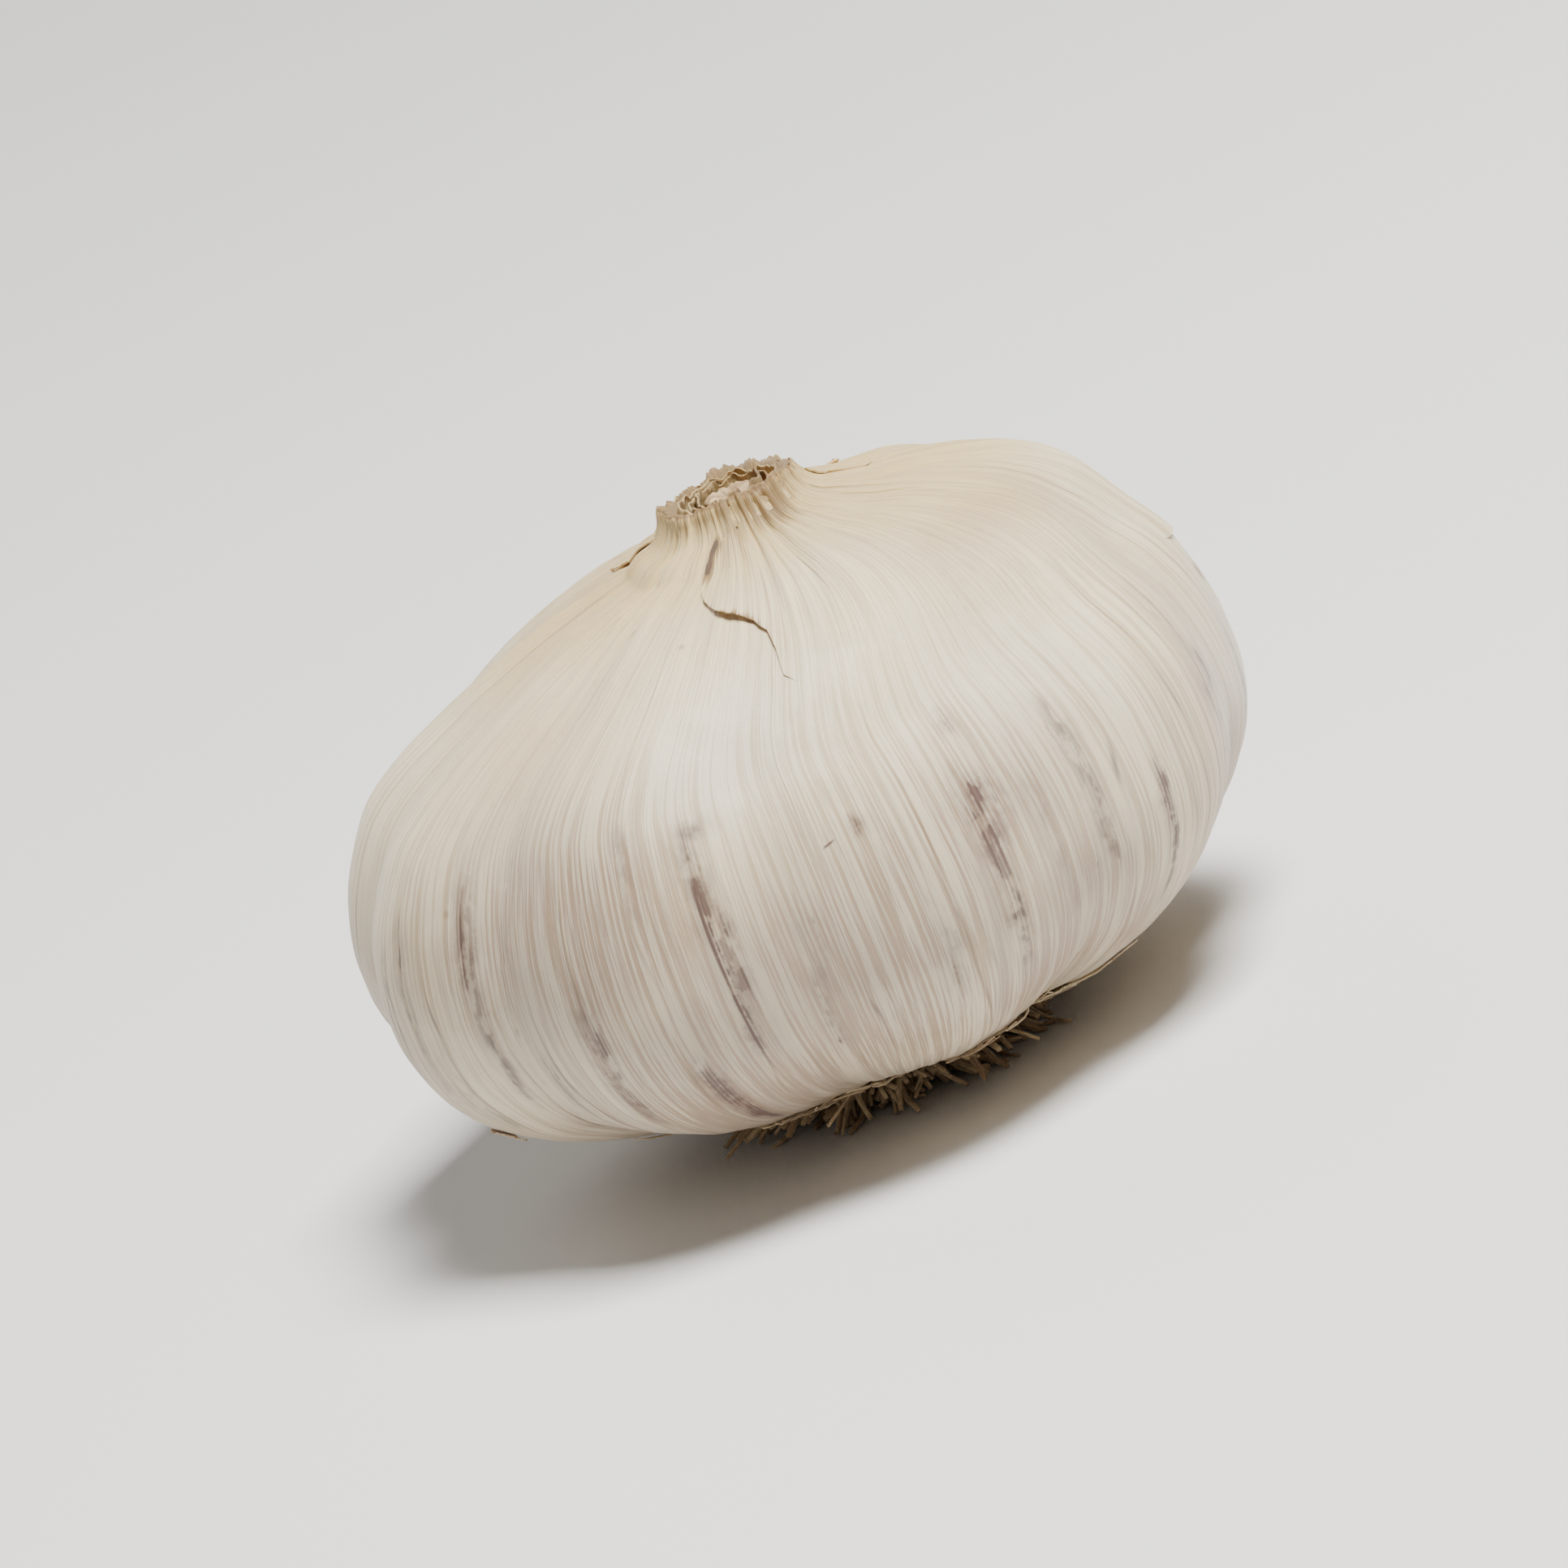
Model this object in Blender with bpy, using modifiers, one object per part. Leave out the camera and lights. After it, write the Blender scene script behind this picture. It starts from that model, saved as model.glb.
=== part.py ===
"""A garlic bulb that stands on its root plate, in metres, +Z up through the neck.

The origin is the middle of the root plate's flat underside. Longitude is counted from +X
towards -Y, so 0 degrees is the right side, 90 the front, 180 the left and 270 the back.
"""

import math

import bmesh
import bpy
import numpy as np
from mathutils import Matrix, Vector

# Driving dimensions of the papery body
HALF_WIDTH = 0.0283
DEPTH_OVER_WIDTH = 0.965
UNDERSIDE_HEIGHT = 0.0020
WIDEST_HEIGHT = 0.0166
CROWN_HEIGHT = 0.0360
NECK_TOP_HEIGHT = 0.0388
NECK_RADIUS = 0.0042

# How far the cut neck stands off the axis, towards the right and the front
NECK_LEAN = (0.0038, -0.0024)
LEAN_STARTS = 0.0260

# Where the body's outline starts at the seat's mouth and ends at the neck, as the angle
# from straight down
OUTLINE_STARTS = math.radians(19.5)
OUTLINE_ENDS = math.radians(163.5)

# Fullness of the outline: 2 is an ellipse, more is squarer
LOWER_FULLNESS = 2.28
UPPER_FULLNESS = 2.05
RIGHT_SHOULDER_FULLNESS = 0.14
FULL_SHOULDER_LONGITUDE = math.radians(15)

# The cloves under the skin: where the first valley lies, how wide each clove is, how far
# it stands out
FIRST_VALLEY = math.radians(20)
CLOVE_WIDTHS = (40, 41, 40, 39, 38, 41, 41, 37, 43)
CLOVE_DEPTHS = (0.0013, 0.0010, 0.0010, 0.0013, 0.0016, 0.0019, 0.0015, 0.0019, 0.0018)
VALLEY_SHARPNESS = 1.25
CLOVE_TWIST = math.radians(9)

# The cloves fade out towards the seat and the neck, over this range of the angle's sine
CLOVES_START = 0.22
CLOVES_FULL = 0.84

# The cut neck, ring by ring from its foot over the torn lip into its middle: width as a
# share of the neck's radius, rise as a share of its height
NECK_WIDTHS = (1.60, 1.31, 1.14, 1.05, 1.02, 0.98, 0.82, 0.70, 0.52, 0.28)
NECK_RISES = (-0.02, 0.13, 0.36, 0.66, 0.90, 1.00, 0.96, 0.58, 0.54, 0.78)
NECK_OVALNESS = 0.05
LIP_DROP = 0.0004
LIP_WAVES = ((3, 0.00022, 0.6), (7, 0.00016, 2.1))

# The seat in the underside that holds the root plate, and the gap that they keep
GAP = 0.0003
SEAT_RADIUS = 0.0090
SEAT_HEIGHT = 0.0046
SEAT_MOUTH = (0.0098, 0.0034)

# Mesh density of the body
LONGITUDES = 80
SEAT_RINGS = 3
BODY_RINGS = 27
NECK_RINGS = len(NECK_WIDTHS)

# The root plate: its flat rest, and the rim that the roots grow from
PLATE_TOP_RADIUS = 0.0085
REST_RADIUS = 0.0046
REST_BEVEL = 0.0004
ROOT_FIELD_RADIUS = 0.0064
ROOT_FIELD_HEIGHT = 0.0011
RIM_RADIUS = 0.0080
RIM_HEIGHT = 0.0022
PLATE_SIDES = 40

# The cut roots: for each row their count, the radius and height of their feet, the angle
# that they point down by, and their length
ROOT_ROWS = (
    (24, 0.0060, 0.0013, 46, 0.0018),
    (28, 0.0069, 0.0017, 31, 0.0030),
    (32, 0.0074, 0.0021, 19, 0.0040),
    (34, 0.0076, 0.0026, 11, 0.0044),
)
ROOT_THICKNESS = 0.0010
ROOT_TIP_SHARE = 0.62
ROOT_SIDES = 5
ROOT_SUNK = 0.0012
ROOT_CLEAR_OF_GROUND = 0.0001
ROOT_SEED = 11


def clear_scene():
    """Removes whatever the scene holds."""
    for thing in list(bpy.data.objects):
        bpy.data.objects.remove(thing, do_unlink=True)


def new_collection(name):
    """A collection of that name, linked to the scene."""
    collection = bpy.data.collections.new(name)
    bpy.context.scene.collection.children.link(collection)
    return collection


def plain_material(name, colour, roughness):
    """A Principled material of one colour."""
    material = bpy.data.materials.new(name)
    material.use_nodes = True
    shader = material.node_tree.nodes["Principled BSDF"]
    shader.inputs["Base Color"].default_value = (*colour, 1)
    shader.inputs["Roughness"].default_value = roughness
    shader.inputs["Metallic"].default_value = 0
    return material


def smoothstep(value):
    """0 below 0, 1 above 1, and an S between."""
    value = np.clip(value, 0, 1)
    return value * value * (3 - 2 * value)


def clove_relief(longitude):
    """How far the cloves push the skin out at a longitude: crests up, valleys down.

    Each clove is a sine arch between two valleys, raised to a power that rounds the valley,
    and half its height is taken off so that the mean outline stays.
    """
    starts = FIRST_VALLEY + np.radians(np.concatenate([[0], np.cumsum(CLOVE_WIDTHS)]))
    turned = (longitude - FIRST_VALLEY) % math.tau + FIRST_VALLEY
    clove = np.clip(np.searchsorted(starts, turned, side="right") - 1, 0, len(CLOVE_WIDTHS) - 1)
    share = (turned - starts[clove]) / (starts[clove + 1] - starts[clove])
    arch = np.sin(math.pi * np.clip(share, 0, 1)) ** VALLEY_SHARPNESS
    return np.array(CLOVE_DEPTHS)[clove] * (arch - 0.5)


def body_rings(longitude, step):
    """Radius and height on the papery body, step 0 at the seat's mouth and 1 at the neck.

    The outline is a superellipse: radius is the half width times sin(angle) to the power
    2 / fullness, and height goes with cos(angle) to the same power.
    """
    shoulder = RIGHT_SHOULDER_FULLNESS * np.cos(longitude - FULL_SHOULDER_LONGITUDE)
    angle = OUTLINE_STARTS + (OUTLINE_ENDS - OUTLINE_STARTS) * step
    lower = angle < math.pi / 2
    fullness = np.where(lower, LOWER_FULLNESS, UPPER_FULLNESS + shoulder)
    half_height = np.where(lower, UNDERSIDE_HEIGHT - WIDEST_HEIGHT, CROWN_HEIGHT - WIDEST_HEIGHT)
    radius = HALF_WIDTH * np.sin(angle) ** (2 / fullness)
    height = WIDEST_HEIGHT + half_height * np.abs(np.cos(angle)) ** (2 / fullness)
    strength = smoothstep((np.sin(angle) - CLOVES_START) / (CLOVES_FULL - CLOVES_START))
    push = clove_relief(longitude + CLOVE_TWIST * step) * strength
    radius = radius + push * np.sin(angle)
    height = height - push * np.cos(angle)
    return radius, height


def neck_rings(longitude, step):
    """Radius and height on the cut neck: up its flank, over the torn lip, into its middle."""
    lip = NECK_TOP_HEIGHT - LIP_DROP
    for waves, size, turn in LIP_WAVES:
        lip = lip + size * np.sin(waves * longitude + turn)
    stations = np.linspace(0, 1, NECK_RINGS)
    oval = 1 + NECK_OVALNESS * np.sin(2 * longitude)
    radius = NECK_RADIUS * np.interp(step, stations, NECK_WIDTHS) * oval
    height = CROWN_HEIGHT + (lip - CROWN_HEIGHT) * np.interp(step, stations, NECK_RISES)
    return radius, height


def skin_points(longitude, ring):
    """The body's points, for a ring number that is 0 at the bottom pole."""
    inside_seat = ring <= SEAT_RINGS
    on_body = (ring > SEAT_RINGS) & (ring <= SEAT_RINGS + BODY_RINGS)
    body = body_rings(longitude, np.clip((ring - SEAT_RINGS - 1) / (BODY_RINGS - 1), 0, 1))
    neck_step = np.clip((ring - SEAT_RINGS - BODY_RINGS - 1) / (NECK_RINGS - 1), 0, 1)
    neck = neck_rings(longitude, neck_step)
    seat_radius = np.interp(ring, (0, 1, 2, 3), (0, SEAT_RADIUS / 2, SEAT_RADIUS, SEAT_MOUTH[0]))
    seat_height = np.interp(ring, (2, 3), (SEAT_HEIGHT, SEAT_MOUTH[1]))
    radius = np.where(inside_seat, seat_radius, np.where(on_body, body[0], neck[0]))
    height = np.where(inside_seat, seat_height, np.where(on_body, body[1], neck[1]))
    radius = np.where(ring == SEAT_RINGS + BODY_RINGS + NECK_RINGS + 1, 0, radius)
    lean = smoothstep((height - LEAN_STARTS) / (CROWN_HEIGHT - LEAN_STARTS))
    x = radius * np.cos(longitude) + lean * NECK_LEAN[0]
    y = -radius * np.sin(longitude) * DEPTH_OVER_WIDTH + lean * NECK_LEAN[1]
    return np.column_stack([x, y, height])


def build_bulb(collection):
    """The skin-wrapped body: a UV sphere whose rings are moved onto the bulb's outline."""
    ring_count = SEAT_RINGS + BODY_RINGS + NECK_RINGS + 1
    sphere = bmesh.new()
    bmesh.ops.create_uvsphere(sphere, u_segments=LONGITUDES, v_segments=ring_count, radius=1)
    mesh = bpy.data.meshes.new("bulb")
    sphere.to_mesh(mesh)
    sphere.free()
    points = np.empty(len(mesh.vertices) * 3)
    mesh.vertices.foreach_get("co", points)
    points = points.reshape(-1, 3)
    longitude = np.arctan2(-points[:, 1], points[:, 0])
    ring = np.rint((1 - np.arccos(np.clip(points[:, 2], -1, 1)) / math.pi) * ring_count)
    mesh.vertices.foreach_set("co", skin_points(longitude, ring).ravel())
    mesh.update()
    bulb = bpy.data.objects.new("bulb", mesh)
    collection.objects.link(bulb)
    mesh.materials.append(plain_material("papery_skin", (0.80, 0.74, 0.60), 0.55))
    mesh.shade_smooth()
    mesh.set_sharp_from_angle(angle=math.radians(50))
    return bulb


def turned_plate(collection):
    """The root plate's disc: a profile turned about Z, from its top centre down its side."""
    outline = (
        (0, SEAT_HEIGHT - GAP),
        (PLATE_TOP_RADIUS, SEAT_HEIGHT - GAP),
        (RIM_RADIUS, RIM_HEIGHT),
        (ROOT_FIELD_RADIUS, ROOT_FIELD_HEIGHT),
        (REST_RADIUS + REST_BEVEL, ROOT_FIELD_HEIGHT * 0.6),
        (REST_RADIUS, 0),
        (0, 0),
    )
    mesh = bpy.data.meshes.new("root_plate")
    edges = [(number, number + 1) for number in range(len(outline) - 1)]
    mesh.from_pydata([(radius, 0, height) for radius, height in outline], edges, [])
    plate = bpy.data.objects.new("root_plate", mesh)
    collection.objects.link(plate)
    turn = plate.modifiers.new("turn", "SCREW")
    turn.steps = PLATE_SIDES
    turn.render_steps = PLATE_SIDES
    turn.use_merge_vertices = True
    turn.merge_threshold = 0.00002
    return plate


def root_stub(name, foot, direction, length, collection):
    """One cut root: a tapered peg from inside the plate, with a blunt tip."""
    peg = bmesh.new()
    bmesh.ops.create_cone(
        peg,
        cap_ends=True,
        segments=ROOT_SIDES,
        radius1=ROOT_THICKNESS / 2,
        radius2=ROOT_THICKNESS / 2 * ROOT_TIP_SHARE,
        depth=length + ROOT_SUNK,
        matrix=Matrix.Translation((0, 0, (length - ROOT_SUNK) / 2)),
    )
    turn = Vector((0, 0, 1)).rotation_difference(direction).to_matrix().to_4x4()
    peg.transform(Matrix.Translation(foot) @ turn)
    mesh = bpy.data.meshes.new(name)
    peg.to_mesh(mesh)
    peg.free()
    collection.objects.link(bpy.data.objects.new(name, mesh))


def sow_roots(collection):
    """Rows of cut roots round the plate, each a little off its even place."""
    draw = np.random.default_rng(ROOT_SEED)
    for row, (count, radius, height, down, length) in enumerate(ROOT_ROWS):
        for number in range(count):
            angle = math.tau * (number + row / 3 + draw.uniform(-0.28, 0.28)) / count
            dip = math.radians(down + draw.uniform(-4, 6))
            swing = angle + math.radians(draw.uniform(-16, 16))
            foot = Vector((radius * math.cos(angle), radius * math.sin(angle), height))
            flat = math.cos(dip)
            direction = Vector((flat * math.cos(swing), flat * math.sin(swing), -math.sin(dip)))
            reach = length * draw.uniform(0.62, 1.0)
            lowest = height - reach * math.sin(dip) - ROOT_THICKNESS / 2
            reach = reach + min(lowest - ROOT_CLEAR_OF_GROUND, 0) / math.sin(dip)
            root_stub(f"root_{row}_{number}", foot, direction, reach, collection)


def keep_outer_shell(mesh):
    """Drops every island of faces but the largest: scraps, and hollows that roots sealed."""
    shape = bmesh.new()
    shape.from_mesh(mesh)
    unseen = set(shape.verts)
    islands = []
    while unseen:
        island = {unseen.pop()}
        edge_of_island = list(island)
        while edge_of_island:
            vertex = edge_of_island.pop()
            near = {edge.other_vert(vertex) for edge in vertex.link_edges} & unseen
            unseen -= near
            island |= near
            edge_of_island.extend(near)
        islands.append(island)
    largest = max(islands, key=len)
    scraps = [vertex for vertex in shape.verts if vertex not in largest]
    bmesh.ops.delete(shape, geom=scraps, context="VERTS")
    shape.to_mesh(mesh)
    shape.free()


def build_root_plate(collection, sowing):
    """The plate with its roots fused on by one union."""
    plate = turned_plate(collection)
    sow_roots(sowing)
    join = plate.modifiers.new("roots", "BOOLEAN")
    join.operation = "UNION"
    join.operand_type = "COLLECTION"
    join.collection = sowing
    join.solver = "EXACT"
    graph = bpy.context.evaluated_depsgraph_get()
    joined = bpy.data.meshes.new_from_object(plate.evaluated_get(graph))
    plate.modifiers.clear()
    plate.data = joined
    joined.name = "root_plate"
    keep_outer_shell(joined)
    for stub in list(sowing.objects):
        bpy.data.objects.remove(stub, do_unlink=True)
    joined.materials.clear()
    joined.materials.append(plain_material("dry_root", (0.36, 0.25, 0.13), 0.85))
    return plate


def main():
    """Builds both pieces of the bulb."""
    clear_scene()
    pieces = new_collection("garlic_bulb")
    sowing = new_collection("root_stubs")
    build_bulb(pieces)
    build_root_plate(pieces, sowing)


main()
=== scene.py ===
# %% [markdown]
# A garlic bulb is a ring of cloves wrapped in dry paper. The outer skins are dull, cream
# and veined from root to neck, the inner ones are pearly, and all of them are drawn
# together into a short cut neck. Below sits a corky root plate with its trimmed roots.
# The frame gives the solids that carry each piece, so every surface here is worked out
# round the same outline, and only made finer.

# %% Load the frame
import math

import bpy
import numpy as np
from mathutils import Matrix, Vector


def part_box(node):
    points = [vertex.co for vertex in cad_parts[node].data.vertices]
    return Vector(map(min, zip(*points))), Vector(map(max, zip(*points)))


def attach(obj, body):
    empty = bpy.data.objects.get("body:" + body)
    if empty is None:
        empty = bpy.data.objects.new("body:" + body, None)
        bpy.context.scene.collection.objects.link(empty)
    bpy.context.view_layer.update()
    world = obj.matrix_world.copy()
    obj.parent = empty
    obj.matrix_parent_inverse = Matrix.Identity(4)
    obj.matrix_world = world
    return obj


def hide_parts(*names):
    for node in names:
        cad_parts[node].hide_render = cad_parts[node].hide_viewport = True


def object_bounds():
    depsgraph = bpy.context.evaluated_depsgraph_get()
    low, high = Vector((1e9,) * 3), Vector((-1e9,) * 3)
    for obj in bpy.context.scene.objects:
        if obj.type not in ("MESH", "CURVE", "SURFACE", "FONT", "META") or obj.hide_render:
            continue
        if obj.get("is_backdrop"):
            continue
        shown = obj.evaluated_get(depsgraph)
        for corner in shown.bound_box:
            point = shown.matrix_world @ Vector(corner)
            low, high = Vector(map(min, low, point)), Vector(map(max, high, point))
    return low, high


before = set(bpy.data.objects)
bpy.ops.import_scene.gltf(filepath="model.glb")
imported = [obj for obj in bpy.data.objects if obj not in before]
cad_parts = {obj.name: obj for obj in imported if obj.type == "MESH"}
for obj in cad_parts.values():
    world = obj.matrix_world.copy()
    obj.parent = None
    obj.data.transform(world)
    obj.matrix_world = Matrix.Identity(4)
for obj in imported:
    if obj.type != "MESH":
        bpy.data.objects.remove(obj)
cad_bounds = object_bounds()
MM = 0.001
bulb_low, bulb_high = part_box("bulb")
plate_low, plate_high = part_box("root_plate")
boxes = {"frame": cad_bounds, "bulb": (bulb_low, bulb_high), "root plate": (plate_low, plate_high)}
for label, box in boxes.items():
    print(label, "box in mm", [[round(value / MM, 1) for value in corner] for corner in box])

# %% [markdown]
# Paper never repeats itself, so a smooth random field is needed that looks the same each
# run. A lattice of random numbers, read with a soft blend between its points, gives one.
# It is read at any number of places at once, and a few sizes of it are added together. Each
# use has a size and a seed of its own, so that no two of them look alike.


# %% Smooth random fields
def smoothstep(value):
    """0 below 0, 1 above 1, and 3 v squared minus 2 v cubed between."""
    value = np.clip(value, 0, 1)
    return value * value * (3 - 2 * value)


def field(places, size, seed):
    """Random numbers from -1 to 1 on a lattice whose cells measure size, blended between.

    Each place takes the eight lattice points round it, weighted by the smoothstep of its
    share of the cell along each axis. The lattice repeats after 32 cells.
    """
    lattice = np.random.default_rng(seed).uniform(-1, 1, (32, 32, 32))
    cells = np.asarray(places) / size
    low = np.floor(cells).astype(int)
    share = smoothstep(cells - low)
    total = np.zeros(cells.shape[:-1])
    for corner in np.ndindex(2, 2, 2):
        weight = np.prod(np.where(np.array(corner) == 1, share, 1 - share), axis=-1)
        at = (low + corner) % 32
        total = total + weight * lattice[at[..., 0], at[..., 1], at[..., 2]]
    return total


def layered_field(places, size, seed, layers=3):
    """Several fields added, each half as large and half as strong as the one before."""
    return sum(field(places, size / 2**n, seed + n) / 2**n for n in range(layers))


print("field sample", round(float(field(np.array([[1.3, 2.1, 0.4]]), 1.0, 5)[0]), 4))

# %% [markdown]
# The body's outline is a superellipse: an ellipse whose fullness can be set, so that the
# underside is flatter than the shoulders. The cloves push it out in arches between nine
# valleys, and the crown leans a little towards the cut neck. These are the frame's own
# measures, so the fine skin lies on the solid. Longitude 0 is +X, 90 degrees is the front.

# %% The body's outline
HALF_WIDTH = 28.3 * MM
DEPTH_OVER_WIDTH = 0.965
UNDERSIDE_HEIGHT = 2.0 * MM
WIDEST_HEIGHT = 16.6 * MM
CROWN_HEIGHT = 36.0 * MM
NECK_RADIUS = 4.2 * MM
NECK_LEAN = np.array([3.8, -2.4]) * MM
LEAN_STARTS = 26.0 * MM
OUTLINE_STARTS = math.radians(19.5)
OUTLINE_ENDS = math.radians(163.5)
LOWER_FULLNESS = 2.28
UPPER_FULLNESS = 2.05
RIGHT_SHOULDER_FULLNESS = 0.14
FULL_SHOULDER_LONGITUDE = math.radians(15)
FIRST_VALLEY = math.radians(20)
CLOVE_WIDTHS = (40, 41, 40, 39, 38, 41, 41, 37, 43)
CLOVE_DEPTHS = np.array([1.3, 1.0, 1.0, 1.3, 1.6, 1.9, 1.5, 1.9, 1.8]) * MM
VALLEY_SHARPNESS = 1.25
CLOVE_TWIST = math.radians(9)
CLOVES_START = 0.22
CLOVES_FULL = 0.84
clove_starts = FIRST_VALLEY + np.radians(np.concatenate([[0], np.cumsum(CLOVE_WIDTHS)]))


def clove_arch(longitude):
    """The clove under a longitude and its arch: 0 in the valleys, 1 on the crest."""
    turned = (longitude - FIRST_VALLEY) % math.tau + FIRST_VALLEY
    clove = np.searchsorted(clove_starts, turned, side="right") - 1
    clove = np.clip(clove, 0, len(CLOVE_WIDTHS) - 1)
    share = (turned - clove_starts[clove]) / (clove_starts[clove + 1] - clove_starts[clove])
    return clove, np.sin(math.pi * np.clip(share, 0, 1)) ** VALLEY_SHARPNESS


def outline_at(longitude, step):
    """Radius and height of the body: step 0 is the seat's mouth, 1 the foot of the neck."""
    shoulder = RIGHT_SHOULDER_FULLNESS * np.cos(longitude - FULL_SHOULDER_LONGITUDE)
    angle = OUTLINE_STARTS + (OUTLINE_ENDS - OUTLINE_STARTS) * step
    lower = angle < math.pi / 2
    fullness = np.where(lower, LOWER_FULLNESS, UPPER_FULLNESS + shoulder)
    half = np.where(lower, UNDERSIDE_HEIGHT - WIDEST_HEIGHT, CROWN_HEIGHT - WIDEST_HEIGHT)
    radius = HALF_WIDTH * np.sin(angle) ** (2 / fullness)
    height = WIDEST_HEIGHT + half * np.abs(np.cos(angle)) ** (2 / fullness)
    strength = smoothstep((np.sin(angle) - CLOVES_START) / (CLOVES_FULL - CLOVES_START))
    clove, arch = clove_arch(longitude + CLOVE_TWIST * step)
    push = CLOVE_DEPTHS[clove] * (arch - 0.5) * strength
    return radius + push * np.sin(angle), height - push * np.cos(angle)


def placed(longitude, radius, height):
    """Points from longitude, radius and height, with the crown's lean added."""
    lean = smoothstep((height - LEAN_STARTS) / (CROWN_HEIGHT - LEAN_STARTS))
    x = radius * np.cos(longitude) + lean * NECK_LEAN[0]
    y = -radius * np.sin(longitude) * DEPTH_OVER_WIDTH + lean * NECK_LEAN[1]
    return np.stack([x, y, height], axis=-1)


widest = float(outline_at(np.array(0.0), np.array(0.49))[0])
print("widest radius in mm", round(widest / MM, 2))

# %% [markdown]
# Above the body the skin sweeps up into the neck. The same step count carries on past 1,
# up to the torn lip, along a smooth curve through a few knots. That way one function
# describes all of the papery surface, and a loose layer of skin can follow it anywhere.

# %% The neck and the whole papery surface
NECK_STEPS = 0.2
FLANK_WIDTHS = (1.60, 1.31, 1.14, 1.05, 1.02, 0.98)
FLANK_HEIGHTS = np.array([35.95, 36.35, 36.95, 37.6, 38.1, 38.35]) * MM


def through(knots, share):
    """A Catmull-Rom curve through evenly spaced knots, read at shares from 0 to 1.

    Between two knots it is the cubic whose slopes there are half the difference of the
    knots on either side.
    """
    knots = np.stack(np.broadcast_arrays(*knots))
    spot = np.clip(share, 0, 1) * (len(knots) - 1)
    low = np.minimum(spot.astype(int), len(knots) - 2)
    part = spot - low
    at = [np.clip(low + shift, 0, len(knots) - 1) for shift in (-1, 0, 1, 2)]
    if knots.ndim == 1:
        before, start, end, after = (knots[index] for index in at)
    else:
        before, start, end, after = (
            np.take_along_axis(knots, index[None], axis=0)[0] for index in at
        )
    return 0.5 * (
        2 * start
        + (end - before) * part
        + (2 * before - 5 * start + 4 * end - after) * part**2
        + (3 * start - before - 3 * end + after) * part**3
    )


def bare_surface(longitude, step):
    """The smooth papery surface: the body up to step 1, then the neck up to its lip."""
    longitude, step = np.broadcast_arrays(longitude, step)
    body = outline_at(longitude, np.clip(step, -0.08, 1))
    rim = outline_at(longitude, np.ones_like(step))
    share = (step - 1) / NECK_STEPS
    flank = through([rim[0], *(width * NECK_RADIUS for width in FLANK_WIDTHS)], share)
    rise = through([rim[1], *FLANK_HEIGHTS], share)
    above = step > 1
    return placed(longitude, np.where(above, flank, body[0]), np.where(above, rise, body[1]))


def outward(longitude, step):
    """Unit normals, from the cross product of the surface's slopes along both parameters."""
    tiny = 1e-3
    along = bare_surface(longitude, step + tiny) - bare_surface(longitude, step - tiny)
    around = bare_surface(longitude + tiny, step) - bare_surface(longitude - tiny, step)
    normal = np.cross(along, around)
    return normal / np.linalg.norm(normal, axis=-1, keepdims=True)


def ring_places(longitude, step, stretch):
    """Places on a unit cylinder, for fields that run lengthwise from root to neck."""
    longitude, step = np.broadcast_arrays(longitude, step)
    return np.stack([np.cos(longitude), np.sin(longitude), step * stretch], axis=-1)

# %% [markdown]
# The skins are drawn in at both ends, so they pleat there, and stay almost smooth over the
# cloves. Between the ends there are shallow dents where the paper bridges two cloves. All
# of this is relief along the normal, so that it shows in the mesh and in its outline.

# %% Relief of the skin
PLEAT = 0.070 * MM
PLEAT_AT_NECK = 0.34 * MM
PLEAT_AT_ROOT = 0.26 * MM
CRUMPLE = 0.16 * MM
RIPPLE = 0.045 * MM


def relief(longitude, step, places):
    """Pleats that grow towards both ends, plus soft dents and a fine ripple."""
    neck = smoothstep((step - 0.80) / 0.20)
    root = smoothstep((0.20 - step) / 0.20)
    coarse = layered_field(ring_places(longitude, step, 0.30), 0.13, 21)
    fine = layered_field(ring_places(longitude, step, 0.16), 0.045, 24)
    pleats = (PLEAT + PLEAT_AT_NECK * neck + PLEAT_AT_ROOT * root) * (0.6 * coarse + 0.5 * fine)
    dents = CRUMPLE * layered_field(places, 8.5 * MM, 31, 2)
    ripple = RIPPLE * field(places, 1.7 * MM, 35)
    return pleats + dents + ripple


def papery(longitude, step, lift=0.0):
    """Points of the finished skin, lifted off it by a distance along the normal."""
    bare = bare_surface(longitude, step)
    height = relief(longitude, step, bare) + lift
    return bare + outward(longitude, step) * height[..., None]


print("front of the skin in mm", np.round(papery(np.array(math.pi / 2), np.array(0.5)) / MM, 2))

# %% [markdown]
# A surface that is a grid of points becomes a mesh of quads. Round pieces close on
# themselves, and their ends close in a pole. The map's U runs round the bulb and V from
# root to neck, and a few values are kept at each point for the paints further down.

# %% Grids into meshes
CRISP_ANGLE = math.radians(55)


def grid_faces(rows, columns, closed):
    """Quads of a grid whose points are counted row by row; a closed one joins its ends."""
    row = np.arange(rows - 1)[:, None] * columns
    column = np.arange(columns if closed else columns - 1)
    after = (column + 1) % columns
    corners = (row + column, row + columns + column, row + columns + after, row + after)
    return np.stack(corners, axis=-1).reshape(-1, 4)


def signed_volume(thing):
    """Sum over the triangles of the box product of their corners: above 0 if faces point out."""
    mesh = thing.data
    mesh.calc_loop_triangles()
    corners = np.array([triangle.vertices for triangle in mesh.loop_triangles])
    points = np.empty(len(mesh.vertices) * 3)
    mesh.vertices.foreach_get("co", points)
    return float(np.linalg.det(points.reshape(-1, 3)[corners]).sum() / 6)


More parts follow.
